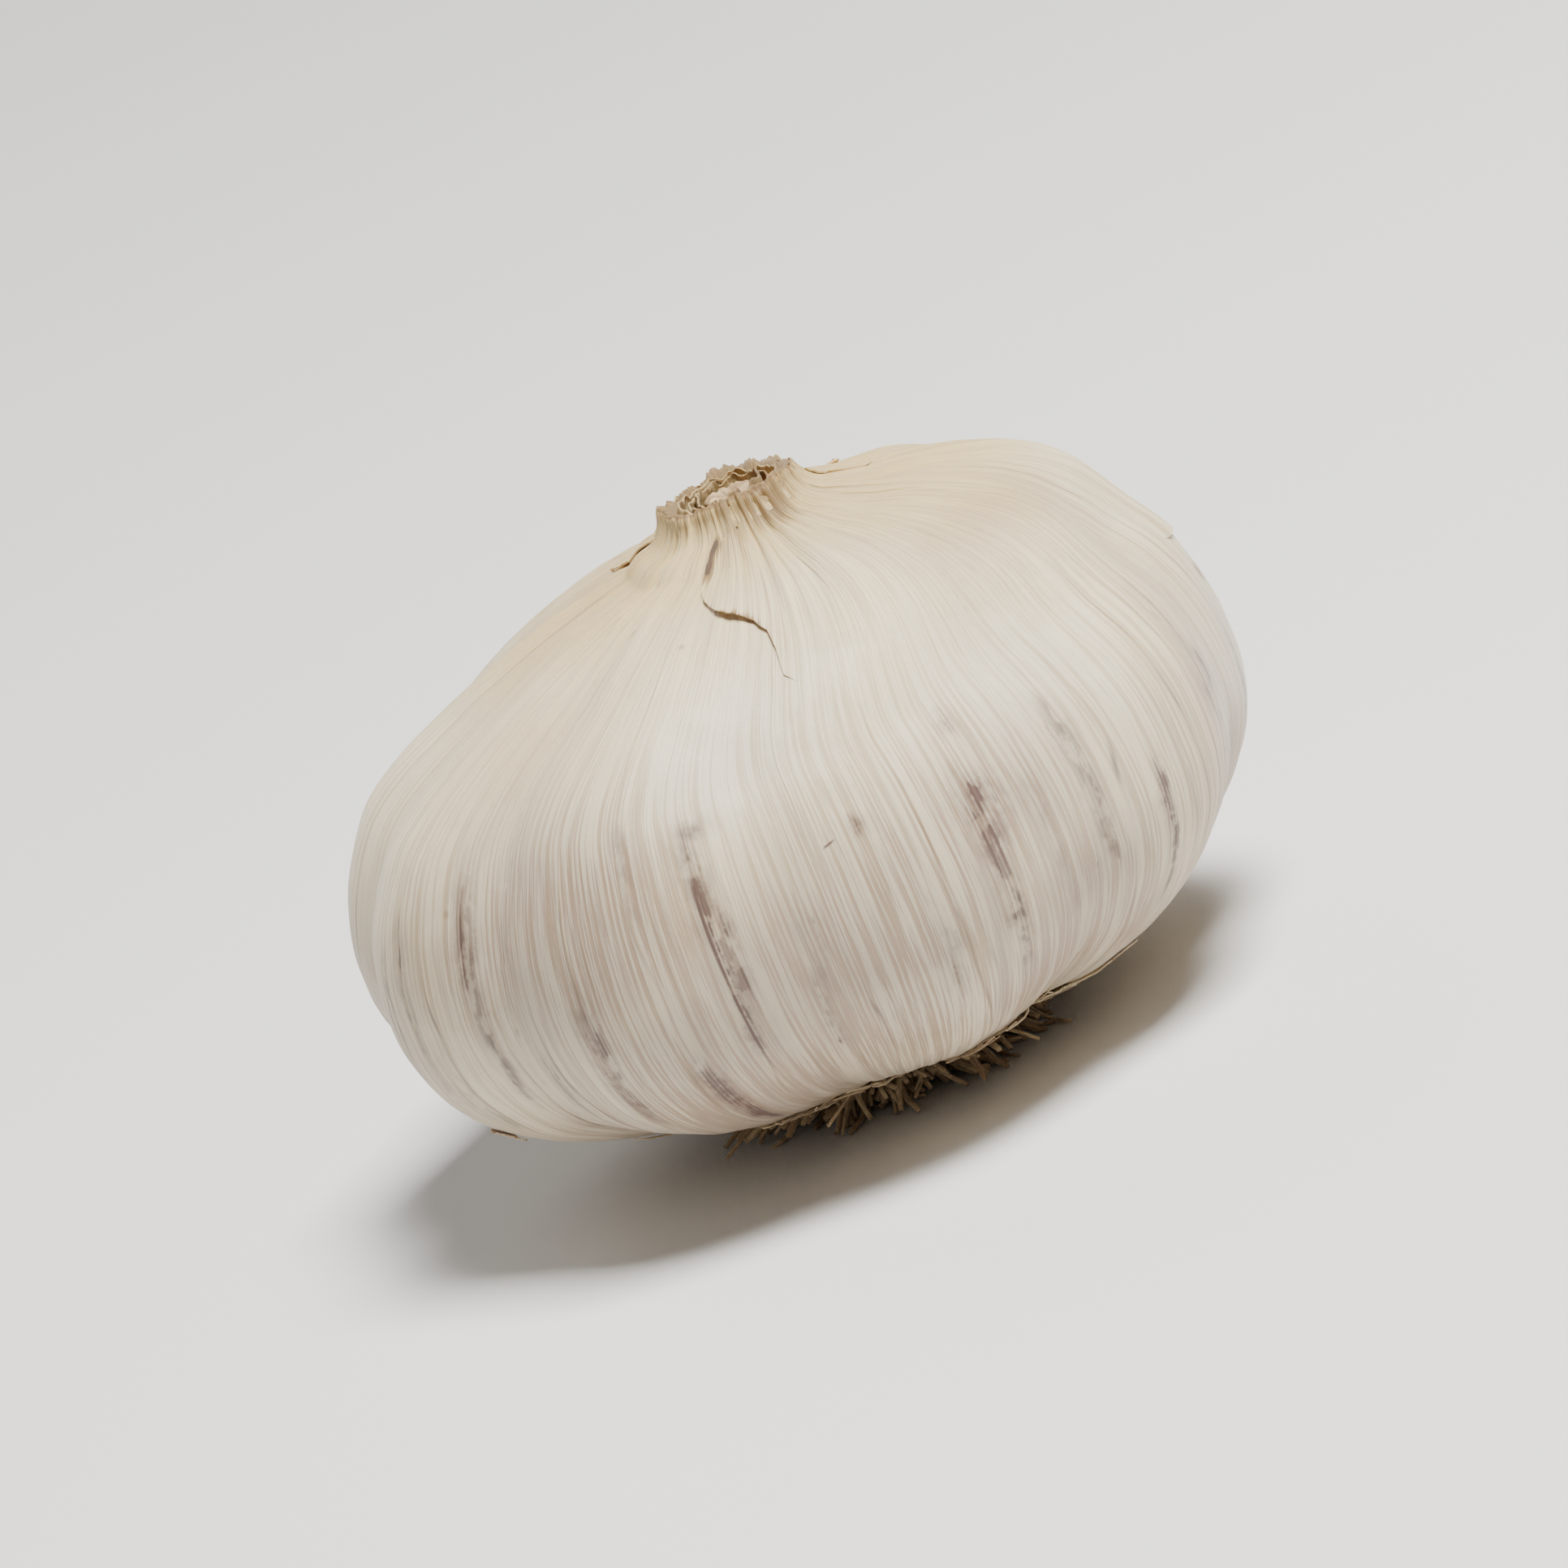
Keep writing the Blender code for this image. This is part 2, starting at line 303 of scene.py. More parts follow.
def mesh_object(name, points, faces, corner_map=None, values=None, crisp=False):
    """A mesh object from arrays, with its map and its values at each point.

    Its faces are turned outwards and shaded smooth. A crisp one keeps its edges sharp where
    faces meet past 55 degrees.
    """
    mesh = bpy.data.meshes.new(name)
    corners = [face for group in faces for face in group.tolist()]
    mesh.from_pydata(points.reshape(-1, 3).tolist(), [], corners)
    if corner_map is not None:
        layer = mesh.uv_layers.new(name="skin_map")
        layer.data.foreach_set("uv", corner_map.astype(np.float32).ravel())
    for label, array in (values or {}).items():
        is_vector = array.ndim > 1 and array.shape[-1] == 3
        kind, held = ("FLOAT_VECTOR", "vector") if is_vector else ("FLOAT", "value")
        attribute = mesh.attributes.new(label, kind, "POINT")
        attribute.data.foreach_set(held, array.astype(np.float32).ravel())
    mesh.shade_smooth()
    if crisp:
        mesh.set_sharp_from_angle(angle=CRISP_ANGLE)
    thing = bpy.data.objects.new(name, mesh)
    bpy.context.scene.collection.objects.link(thing)
    if signed_volume(thing) < 0:
        mesh.flip_normals()
    return thing


def ring_turns(rows, columns):
    """The map's U at the corners of a closed grid's quads, from 0 to 1 round each ring."""
    left = np.arange(columns) / columns
    right = left + 1 / columns
    return np.tile(np.stack([left, left, right, right], axis=-1).ravel(), rows - 1)


def capped_rings(name, rows, values, steps=None):
    """A closed piece from rings of points, whose first and last row are poles.

    If steps are given, the piece has a map, whose V is the step of each corner's own point.
    """
    columns = rows.shape[1]
    count = (len(rows) - 2) * columns

    def flat(array):
        """The rings' points or values one after another, and then the two poles' own."""
        rings = array[1:-1].reshape(count, *array.shape[2:])
        return np.concatenate([rings, np.stack([array[0, 0], array[-1, 0]])])

    column = np.arange(columns)
    after = (column + 1) % columns
    top = count - columns
    low_fan = np.column_stack([np.full(columns, count), column, after])
    high_fan = np.column_stack([np.full(columns, count + 1), top + after, top + column])
    faces = [grid_faces(len(rows) - 2, columns, True), low_fan, high_fan]
    corner_map = None
    if steps is not None:
        left, right = column / columns, (column + 1) / columns
        low_turns = np.column_stack([left, left, right]).ravel()
        high_turns = np.column_stack([left, right, left]).ravel()
        turns = np.concatenate([ring_turns(len(rows) - 2, columns), low_turns, high_turns])
        own_steps = np.concatenate([flat(steps)[group].ravel() for group in faces])
        corner_map = np.column_stack([turns, own_steps])
    flat_values = {label: flat(array) for label, array in values.items()}
    return mesh_object(name, flat(rows), faces, corner_map, flat_values)


print("quads of a small closed grid", len(grid_faces(3, 4, True)))

# %% [markdown]
# The paints need to know where on the bulb they are. The brown-mauve streaks lie on set
# longitudes and heights of the front, and chance places the ones on the other sides. The
# bulb is warm and tan at the crown, mauve and darker on its lower half and left side, and
# stained where the roots start. Each of those colours is a table of soft patches. The mauve
# is partly the skin's own colour and partly painted shade for light falling from above, and
# the valleys between the cloves are darkened with painted shade.

# %% Where the colours lie
FRONT_STREAKS = (
    # longitude in degrees, lowest and highest step, width in mm, strength
    (142.0, 0.33, 0.72, 0.60, 1.00),
    (134.5, 0.30, 0.47, 0.40, 0.50),
    (124.8, 0.26, 0.54, 0.62, 1.00),
    (114.2, 0.58, 0.72, 0.40, 0.60),
    (113.0, 0.11, 0.42, 0.60, 1.05),
    (105.4, 0.33, 0.70, 0.58, 1.10),
    (95.4, 0.29, 0.55, 0.45, 0.45),
    (79.0, 0.33, 0.50, 0.45, 0.55),
    (69.6, 0.29, 0.62, 0.60, 1.15),
    (61.0, 0.34, 0.60, 0.40, 0.45),
    (53.0, 0.37, 0.64, 0.50, 1.05),
    (43.8, 0.24, 0.51, 0.36, 1.00),
)
FRONT_SMUDGES = (
    # longitude in degrees, step, width and length in mm, strength
    (67.2, 0.660, 0.70, 2.6, 0.45), (68.6, 0.575, 0.95, 2.4, 1.40),
    (69.0, 0.525, 0.85, 2.6, 1.30), (66.0, 0.550, 1.50, 3.6, 0.55),
    (70.2, 0.415, 0.60, 2.4, 1.10), (104.2, 0.672, 0.95, 1.8, 0.90),
    (105.3, 0.560, 0.95, 4.4, 1.00), (105.5, 0.420, 0.50, 3.0, 0.80),
    (112.7, 0.300, 0.65, 3.4, 0.95), (84.3, 0.605, 0.65, 1.6, 0.70),
    (95.0, 0.520, 0.70, 1.5, 0.40), (95.5, 0.330, 0.50, 1.6, 0.55),
    (79.0, 0.425, 0.60, 2.2, 0.50), (124.5, 0.420, 0.50, 3.0, 0.60),
    (142.0, 0.440, 0.45, 3.2, 0.70), (140.0, 0.256, 0.60, 2.0, 0.60),
    (150.0, 0.140, 0.60, 2.0, 0.60), (52.2, 0.580, 0.60, 2.4, 0.50),
    (52.9, 0.505, 0.40, 2.8, 1.30), (53.2, 0.440, 0.36, 1.8, 0.90),
    (43.6, 0.465, 0.34, 2.4, 1.40), (43.8, 0.410, 0.32, 1.6, 0.80),
)
BODY_LENGTH = 66.0  # mm from root to neck along the skin
SIDE_STREAKS = 34
SIDE_SMUDGES = 26
STREAK_HALO = 2.6  # how much wider than its streak the mauve round it is
# Each patch: strength, longitude in degrees, step, half width in degrees, half height in steps
# Mauve patches: partly the skin's own colour, partly painted shade that darkens the lower half and
# the left side.
MAUVE_AND_SHADE_SPOTS = (
    (1.45, 130, 0.58, 28, 0.17), (0.55, 36, 0.86, 20, 0.06), (0.75, 68, 0.58, 11, 0.12),
    (1.45, 82, 0.49, 33, 0.16), (0.60, 168, 0.34, 20, 0.16), (0.75, 222, 0.46, 30, 0.20),
    (0.60, 300, 0.36, 36, 0.17), (1.60, 62, 0.28, 26, 0.16),
)
PEARL_SPOTS = (
    (1.00, 100, 0.74, 22, 0.11), (0.80, 58, 0.62, 20, 0.16),
    (0.80, 5, 0.45, 24, 0.16), (0.70, 260, 0.50, 40, 0.18),
)
WARM_SPOTS = ((1.00, 30, 0.88, 26, 0.10), (0.60, 148, 0.84, 24, 0.13), (0.55, 285, 0.80, 50, 0.14))
PALE_FRONT = (80, 0.90, 42, 0.13)
STREAK_SEED = 71
streak_draw = np.random.default_rng(STREAK_SEED)


def drawn(count, *ranges):
    """As many rows of chance numbers as asked for, with one number from each range."""
    return zip(*[streak_draw.uniform(low, high, count) for low, high in ranges])


def side_streaks():
    """Streaks between 150 and 395 degrees, which is the sides and the back."""
    ranges = (0.12, 0.42), (150, 395), (0.10, 0.36), (0.30, 0.70), (0.25, 0.95)
    for low, longitude, tall, width, strength in drawn(SIDE_STREAKS, *ranges):
        yield longitude, low, low + tall, width, strength


streaks = [*FRONT_STREAKS, *side_streaks()]
side_smudges = drawn(SIDE_SMUDGES, (155, 392), (0.18, 0.66), (0.35, 0.95), (1.5, 4.2), (0.3, 1.1))
smudges = [*FRONT_SMUDGES, *side_smudges]


def turned_from(longitude, centre):
    """The angle from a centre in degrees to a longitude, the shorter way, in radians."""
    return (longitude - math.radians(centre) + math.pi) % math.tau - math.pi


def streak_strength(longitude, step, places, widened):
    """Each streak is a bell across its width that fades in and out along its length.

    A smudge is a bell both ways: e to the power of minus across squared minus along squared.
    """
    reach = np.hypot(places[..., 0], places[..., 1])
    bent = longitude + 0.016 * layered_field(ring_places(longitude, step, 4.0), 0.5, 41, 2)
    total = np.zeros(longitude.shape)
    for centre, low, high, width, strength in streaks:
        place = (step - (low + high) / 2) / ((high - low) / 2)
        thick = np.maximum(width * widened * (1.0 + 0.45 * place), 0.1) * MM
        across = np.exp(-((turned_from(bent, centre) * reach / thick) ** 2))
        total = np.maximum(total, strength * across * smoothstep(1.6 - 1.4 * np.abs(place)))
    for centre, middle, width, length, strength in smudges:
        across = turned_from(bent, centre) * reach / (width * widened * MM)
        along = (step - middle) * BODY_LENGTH / (0.5 * length * (0.6 + 0.4 * widened))
        total = np.maximum(total, strength * np.exp(-(across**2) - along**2))
    return total


def spot(longitude, step, centre, middle, wide, tall):
    """A soft round patch on the skin, 1 in its middle, from its half width and half height."""
    across = turned_from(longitude, centre) / math.radians(wide)
    return np.exp(-(across**2) - ((step - middle) / tall) ** 2)


def strongest(longitude, step, spots):
    """The largest of several patches at each point, each times its own strength."""
    return np.max([strength * spot(longitude, step, *rest) for strength, *rest in spots], axis=0)


def paints(longitude, step, places):
    """The values that the paper's paints read at each point of a piece."""
    _, arch = clove_arch(longitude + CLOVE_TWIST * step)
    cloud = 0.5 + 0.5 * layered_field(places, 11 * MM, 51)
    # The lower half is darkened with mauve: partly the skin's own colour, partly painted shade for
    # the light falling from above.
    low_half_mauve_and_shade = smoothstep((0.68 - step) / 0.30) * smoothstep((step - 0.02) / 0.14)
    low_half_mauve_and_shade = low_half_mauve_and_shade * (1.20 + 0.30 * field(places, 7 * MM, 57))
    mauve_and_shade = np.maximum(strongest(longitude, step, MAUVE_AND_SHADE_SPOTS), low_half_mauve_and_shade)
    halo = 0.7 * streak_strength(longitude, step, places, STREAK_HALO)
    crown = smoothstep((step - 0.78 + 0.10 * cloud) / 0.24)
    crown = crown * (1 - 0.65 * spot(longitude, step, *PALE_FRONT))
    return {
        "turn": longitude / math.tau,
        "step": step * np.ones_like(longitude),
        "around": ring_places(longitude, step, 1.0),
        "streak": streak_strength(longitude, step, places, 1.0),
        "mauve_and_shade": np.maximum(mauve_and_shade * (0.55 + 0.7 * cloud), halo),
        "pearl": strongest(longitude, step, PEARL_SPOTS),
        "warm": np.maximum(crown, strongest(longitude, step, WARM_SPOTS)),
        "soil": smoothstep((0.12 - step + 0.06 * (cloud - 0.5)) / 0.10),
        # Painted shade in the valleys between the cloves.
        "valley_shade": (1 - arch) * smoothstep((0.9 - np.abs(step - 0.5) * 1.6) / 0.5),
    }


print("streaks in all", len(streaks), "and smudges", len(smudges))

# %% [markdown]
# The main skin closes round everything. Its rings start in the middle of the seat over the
# root plate, come out at the seat's mouth, run over the body and the neck to the torn lip,
# and go down inside the neck. It replaces the frame's plain body.

# %% Main skin
LONGITUDES = 448
BODY_ROWS = 168
NECK_ROWS = 22
SEAT_RADIUS = 9.0 * MM
# Share of the seat's or the neck's radius, and height in mm
SEAT = ((0.35, 4.6), (0.75, 4.6), (1.0, 4.55), (1.05, 4.0), (1.085, 3.45))
THROAT = ((0.88, 38.15), (0.80, 37.5), (0.70, 36.9), (0.55, 36.6), (0.35, 36.5), (0.15, 36.5))
NECK_SPOTS = (
    # brown mottles, and then the upright of the hook-shaped tear, as patches
    (0.85, 66, 1.10, 24, 0.055), (0.30, 100, 1.05, 30, 0.05),
    (1.7, 109.5, 1.058, 2.6, 0.024), (1.5, 111.6, 1.012, 2.2, 0.030),
)
longitudes = np.arange(LONGITUDES) * math.tau / LONGITUDES


def lip_height(longitude):
    """How far the torn lip of the neck stands above or below its mean, in metres."""
    return 0.34 * MM * layered_field(ring_places(longitude, 0.0, 1.0), 0.35, 61)


def dried_neck(longitude, step):
    """How brown the paper is round the neck: more towards the lip, most on its front right."""
    side = 0.5 + 0.5 * np.cos(longitude - math.radians(60))
    lip = smoothstep((step - 1.05) / 0.15) * (0.30 + 0.35 * side)
    return lip + sum(strength * spot(longitude, step, *rest) for strength, *rest in NECK_SPOTS)


def with_poles(array, low, high):
    """The rows of an array between a row of one value below and one above."""
    shape = array[:1].shape
    return np.concatenate([np.broadcast_to(low, shape), array, np.broadcast_to(high, shape)])


def main_skin():
    """The skin's rows: seat, body, neck and throat, with a pole at each end."""
    neck_steps = 1 + NECK_STEPS * np.arange(1, NECK_ROWS + 1) / NECK_ROWS
    steps = np.concatenate([np.linspace(0, 1, BODY_ROWS), neck_steps])
    turn, step = np.meshgrid(longitudes, steps)
    shell = papery(turn, step)
    shell[..., 2] += lip_height(turn) * smoothstep((step - 1.05) / 0.15)
    ring = np.stack([np.cos(longitudes), -np.sin(longitudes) * DEPTH_OVER_WIDTH], axis=-1)
    level, ragged_level = np.zeros(LONGITUDES), lip_height(longitudes)
    seat = [
        np.column_stack([ring * SEAT_RADIUS * share, level + height * MM]) for share, height in SEAT
    ]
    throat = [
        np.column_stack([ring * NECK_RADIUS * share + NECK_LEAN, height * MM + ragged_level])
        for share, height in THROAT
    ]
    rows = np.concatenate([seat, shell, throat])
    step = np.pad(step, ((len(seat), len(throat)), (0, 0)), mode="edge")
    turn = np.tile(longitudes, (len(rows), 1))
    values = paints(turn, step, rows)
    values["soil"][: len(seat)] = 1.0
    values["fade"] = np.zeros(turn.shape)
    values["tip"] = dried_neck(turn, step)
    values["tip"][-len(throat) - 3 :] = 1.0
    del values["turn"], values["step"]
    for label, array in values.items():
        values[label] = with_poles(array, array[0].mean(0), array[-1].mean(0))
    points = with_poles(rows, [0, 0, rows[0, 0, 2]], [*NECK_LEAN, rows[-1, :, 2].mean()])
    return capped_rings("main_skin", points, values, np.pad(step, ((1, 1), (0, 0)), mode="edge"))


skin = main_skin()
volume = signed_volume(skin) / (10 * MM) ** 3
print("main skin faces", len(skin.data.polygons), "volume in ml", round(volume, 1))

# %% [markdown]
# The outermost skin is torn. It is a sheet a tenth of a millimetre thick, which lies on the
# main skin and curls a little where it is torn free. A sheet is two grids, an outer and an
# inner one, joined round their border, so that it is closed like any solid. Where it should
# pass unseen its border dips below the main skin.

# %% Thin sheets of skin
SHEET_THICKNESS = 0.10 * MM
SHEET_LIFT = 0.05 * MM
SUNK_LIFT = -0.30 * MM
CURL_REACH = 1.3 * MM
SUNK_REACH = 4.5 * MM
BORDER_WIDTH = 0.36 * MM


def rim_of(rows, columns):
    """The numbers of a grid's border points, once round."""
    low = np.arange(columns)
    right = np.arange(1, rows) * columns + columns - 1
    high = (rows - 1) * columns + np.arange(columns - 2, -1, -1)
    left = np.arange(rows - 2, 0, -1) * columns
    return np.concatenate([low, right, high, left])


def sheet_object(name, sheets):
    """Closed sheets as one object: each is an outer and an inner grid joined round the border.

    The map's U is the turn and its V the step of each corner's own point.
    """
    points, faces, maps, held = [], [], [], {}
    for outer, inner, values in sheets:
        rows, columns = outer.shape[:2]
        count = rows * columns
        front = grid_faces(rows, columns, False)
        rim = rim_of(rows, columns)
        after = np.roll(rim, -1)
        edge = np.column_stack([rim, after, after + count, rim + count])
        quads = np.concatenate([front, front[:, ::-1] + count, edge])
        own = [values.pop(label).ravel()[quads % count] for label in ("turn", "step")]
        maps.append(np.stack(own, -1))
        faces.append(quads + sum(len(grid) for grid in points))
        points.append(np.concatenate([outer.reshape(-1, 3), inner.reshape(-1, 3)]))
        for label, array in values.items():
            flat = array.reshape(count, *array.shape[2:])
            held.setdefault(label, []).extend([flat, flat])
    joined = {label: np.concatenate(parts) for label, parts in held.items()}
    corner_map = np.concatenate(maps).reshape(-1, 2)
    return mesh_object(name, np.concatenate(points), faces, corner_map, joined, crisp=True)


def torn_sheet(longitude, step, showing, curl, seed, browned=0.35):
    """A sheet's grids and values, over a grid of longitudes and steps that follows the skin.

    showing says for each point how far the border stands out, from -1, sunk, to 1, curled.
    A curl dies away within a millimetre or two of the border and a dip within several.
    """
    rows, columns = longitude.shape
    share_up = np.linspace(0, 1, rows)[:, None]
    share_along = np.linspace(0, 1, columns)[None, :]
    bare = bare_surface(longitude, step)
    tall = np.linalg.norm(np.diff(bare, axis=0), axis=-1).sum(0)[None, :]
    wide = np.linalg.norm(np.diff(bare, axis=1), axis=-1).sum(1)[:, None]
    to_end = np.minimum(share_up, 1 - share_up) * tall
    to_edge = np.minimum(to_end, np.minimum(share_along, 1 - share_along) * wide)
    curled = np.exp(-to_edge / CURL_REACH) * np.maximum(showing, 0)
    sunk = np.exp(-to_edge / SUNK_REACH) * np.maximum(-showing, 0)
    flutter = 0.55 + 0.45 * field(bare, 2.6 * MM, seed)
    lift = SHEET_LIFT + curl * flutter * curled + SUNK_LIFT * sunk
    values = paints(longitude, step, bare)
    values["fade"] = sunk
    border = browned * np.exp(-to_edge / BORDER_WIDTH) * np.minimum(np.maximum(showing, 0) * 2, 1)
    values["tip"] = np.maximum(border, dried_neck(longitude, step))
    return papery(longitude, step, lift + SHEET_THICKNESS), papery(longitude, step, lift), values


def ragged(share, seed, size, depth):
    """A torn border along a share from 0 to 1: coarse bites and fine teeth, by depth."""
    line = np.stack([share / size, np.zeros_like(share), np.zeros_like(share)], axis=-1)
    return depth * layered_field(line, 1.0, seed, 4)


print("border points of a small sheet", len(rim_of(3, 4)))

# %% [markdown]
# The outer skin starts at the crown. On the front its edge runs down from the neck, steps
# to the right and fades out, which leaves the pearly skin below in view. Round the right
# side and the back it ends in a torn border between the shoulders and the widest place.

# %% Outer skin
CROWN_EDGE = (
    # longitude in degrees, step of the lower border, how far it shows, how ragged, how brown
    (112.5, 0.990, 1.0, 0.1, 0.40), (110.0, 0.962, 1.0, 0.1, 0.30),
    (106.5, 0.943, 1.0, 0.1, 0.35), (103.0, 0.928, 1.0, 0.1, 0.60),
    (98.5, 0.916, 1.0, 0.1, 0.90), (93.8, 0.904, 0.9, 0.1, 0.80),
    (90.8, 0.886, 0.7, 0.1, 0.55), (89.0, 0.852, 0.4, 0.1, 0.35),
    (88.0, 0.815, -0.1, 0.1, 0.20), (84.0, 0.780, -0.8, 0.2, 0.20),
    (72.0, 0.730, -1.0, 0.3, 0.20), (40.0, 0.680, -1.0, 0.3, 0.20),
    (14.0, 0.640, -1.0, 0.3, 0.20), (3.0, 0.632, -1.0, 0.4, 0.20),
    (-2.0, 0.625, 0.9, 0.6, 0.20), (-14.0, 0.600, 1.0, 0.8, 0.30),
    (-30.0, 0.520, 1.0, 1.0, 0.30), (-48.0, 0.470, 0.9, 1.0, 0.30),
    (-62.0, 0.560, 1.0, 1.0, 0.30), (-92.0, 0.430, 1.0, 1.0, 0.30),
    (-112.0, 0.360, 0.9, 1.0, 0.30), (-121.0, 0.520, 1.0, 1.0, 0.25),
    (-125.0, 0.660, 0.2, 0.6, 0.15), (-129.0, 0.780, -1.0, 0.4, 0.10),
)
HOOK_LEAN = 3.5
HIGHEST_STEP = 1.15


def crown_skin():
    """The grid between that lower border and the neck, with its sides torn as well."""
    rows, columns = 72, 580
    degrees, *edges = np.array(CROWN_EDGE).T
    share = np.linspace(0, 1, columns)
    along = degrees[0] + (degrees[-1] - degrees[0]) * share
    border, show, rag, browned = (np.interp(-along, -degrees, edge) for edge in edges)
    low = border + rag * ragged(share, 81, 0.012, 0.011)
    up = np.linspace(0, 1, rows)[:, None]
    step = low + (HIGHEST_STEP - low) * up
    side = ragged(up, 84, 0.11, 0.7) * np.abs(2 * share - 1) ** 8
    hook = HOOK_LEAN * smoothstep((step - 1.0) / 0.08) * np.maximum(1 - 14 * share, 0)
    front = smoothstep((along - 88) / 12)
    up_the_neck = smoothstep((step - (0.985 + 0.075 * front)) / 0.03)
    showing = show * (1 - up_the_neck) - up_the_neck
    brown = browned + (0.95 - browned) * front * smoothstep((step - 1.005) / 0.03)
    longitude = np.radians(along + side - hook)
    return torn_sheet(longitude, step, showing, (0.30 + 0.20 * front) * MM, 85, brown)


outer_skin = sheet_object("outer_skin", [crown_skin()])
print("outer skin faces", len(outer_skin.data.polygons))

# %% [markdown]
# Two smaller remnants of the next skin down cling to the lower back, and short tongues of
# paper stand round the roots and the neck, where the skins were torn and trimmed. A few
# flakes are about to come off.

# %% Remnants and tongues
# Each: longitude and width in degrees, lowest and highest step, how far it stands off in mm
REMNANTS = ((238, 44, 0.10, 0.38, 0.45), (207, 22, 0.28, 0.60, 0.30))
NECK_TONGUES = (
    (330, 40, 0.975, 1.150, 0.15), (284, 56, 0.920, 1.130, 0.30),
    (240, 34, 0.975, 1.160, 0.35), (216, 26, 0.975, 1.150, 0.20),
)
FLAKES = (
    (160, 7.0, 0.250, 0.290, 0.25), (312, 5.5, 0.300, 0.345, 0.25),
    (345, 8.0, 0.250, 0.320, 0.40), (290, 6.5, 0.330, 0.372, 0.35),
    (250, 6.0, 0.640, 0.680, 0.25),
)
ROOT_TONGUES = 15
ROOT_TONGUE_SEED = 131


def patch(centre, wide, low, high, curl, seed, rows, columns, browned=0.35):
    """A torn remnant: a rectangle of longitudes and steps whose four borders are ragged."""
    across, up = np.meshgrid(np.linspace(-1, 1, columns), np.linspace(0, 1, rows))
    taper = 1 - 0.25 * np.abs(2 * up - 1) ** 3
    side = ragged(up, seed, 0.16, 0.10) * np.abs(across) ** 3
    longitude = np.radians(centre + wide / 2 * (across * taper + side))
    ends = ragged((across + 1) / 2, seed + 7, 0.14, 0.12) * np.abs(2 * up - 1) ** 3
    rise = (2 * up - 1) * (1 - 0.2 * np.abs(across) ** 3) + ends
    step = (low + high) / 2 + (high - low) / 2 * rise
    return torn_sheet(longitude, step, np.ones_like(step), curl * MM, seed + 3, browned)


def patches(name, places, seeds, *rows_columns_browned):
    """Several torn remnants as one object, each with a seed of its own."""
    pairs = zip(places, seeds)
    return sheet_object(name, [patch(*place, seed, *rows_columns_browned) for place, seed in pairs])


def root_tongue_places():
    """Short torn tongues that start at the seat's mouth and lift off the underside."""
    draw = np.random.default_rng(ROOT_TONGUE_SEED)
    for number in range(ROOT_TONGUES):
        centre = 360 * (number + draw.uniform(-0.3, 0.3)) / ROOT_TONGUES
        tall, wide, curl = draw.uniform(0.035, 0.10), draw.uniform(9, 21), draw.uniform(0.10, 0.35)
        yield centre, wide, -0.004, tall, curl


remnants = patches("skin_remnants", REMNANTS, (101, 112), 46, 60)
root_tongues = patches("root_tongues", root_tongue_places(), range(140, 155), 14, 22)
neck_tongues = patches("neck_tongues", NECK_TONGUES, range(230, 234), 26, 44, 0.12)
flakes = patches("skin_flakes", FLAKES, range(260, 265), 14, 18)
loose = (remnants, root_tongues, neck_tongues, flakes)
print("faces of the loose pieces", {piece.name: len(piece.data.polygons) for piece in loose})

# %% [markdown]
# The cut neck shows the skins end on: nested sheaths, dried brown at their torn lips, round
# the fibrous stub of the stem. Each sheath is a short tube that flutters, with a ragged top.

# %% Neck sheaths and stem stub
SHEATHS = (
    # radius at the foot and at the lip in mm, lowest and highest height in mm, seed
    (4.60, 4.15, 36.9, 38.10, 161),
    (3.70, 3.20, 36.4, 38.30, 162),
    (3.00, 2.60, 36.4, 38.10, 163),
    (2.35, 2.05, 36.4, 38.30, 164),
)
SHEATH_WALL = 0.11
STUB_KNOTS = (
    # radius and height in mm, from the middle of its foot round to the middle of its top
    (0, 36.3), (1.3, 36.3), (1.62, 36.6), (1.58, 37.3),
    (1.5, 37.85), (1.15, 38.05), (0.6, 37.8), (0, 37.7),
)


def sheath(number, foot, lip, low, high, seed):
    """A fluttering tube round the neck, whose section is a closed loop: up outside, down inside."""
    rows, columns = 22, 144
    turn, up = np.meshgrid(np.arange(columns) * math.tau / columns, np.linspace(0, 1, rows))
    level = ring_places(turn, 0.0, 1.0)
    flutter = layered_field(ring_places(turn, up, 0.5), 0.42, seed)
    teeth = layered_field(level, 0.16, seed + 20)
    bites = np.minimum(layered_field(level, 0.75, seed + 30) + 0.25, 0)
    radius = foot + (lip - foot) * up + 0.22 * flutter * (0.4 + up)
    height = low + (high - low) * up + (0.22 * teeth + 0.7 * bites) * up**1.5
    radius = np.concatenate([radius, radius[::-1] - SHEATH_WALL]) * MM
    height = np.concatenate([height, height[::-1]]) * MM
    turn, teeth, up = np.tile(turn, (2, 1)), np.tile(teeth, (2, 1)), np.concatenate([up, up[::-1]])
    x, y = radius * np.cos(turn) + NECK_LEAN[0], -radius * np.sin(turn) + NECK_LEAN[1]
    points = np.stack([x, y, height], axis=-1)
    values = paints(turn, 1.0 + 0.2 * up, points)
    values["fade"] = np.zeros(up.shape)
    side = 0.5 + 0.5 * np.cos(turn - math.radians(30))
    values["tip"] = smoothstep((up - 0.35) / 0.6) * (0.40 + 0.40 * side + 0.30 * teeth)
    del values["turn"]
    steps = values.pop("step").ravel()
    quads = grid_faces(2 * rows + 1, columns, True) % radius.size
    corner_map = np.column_stack([ring_turns(2 * rows + 1, columns), steps[quads].ravel()])
    return mesh_object(f"neck_sheath_{number}", points, [quads], corner_map, values)


def turned_profile(knots, rows, columns):
    """Longitude, share along the profile, radius and height in mm on a grid of points."""
    turn, share = np.meshgrid(np.arange(columns) * math.tau / columns, np.linspace(0, 1, rows))
    return turn, share, *(through(measures, share) for measures in zip(*knots))


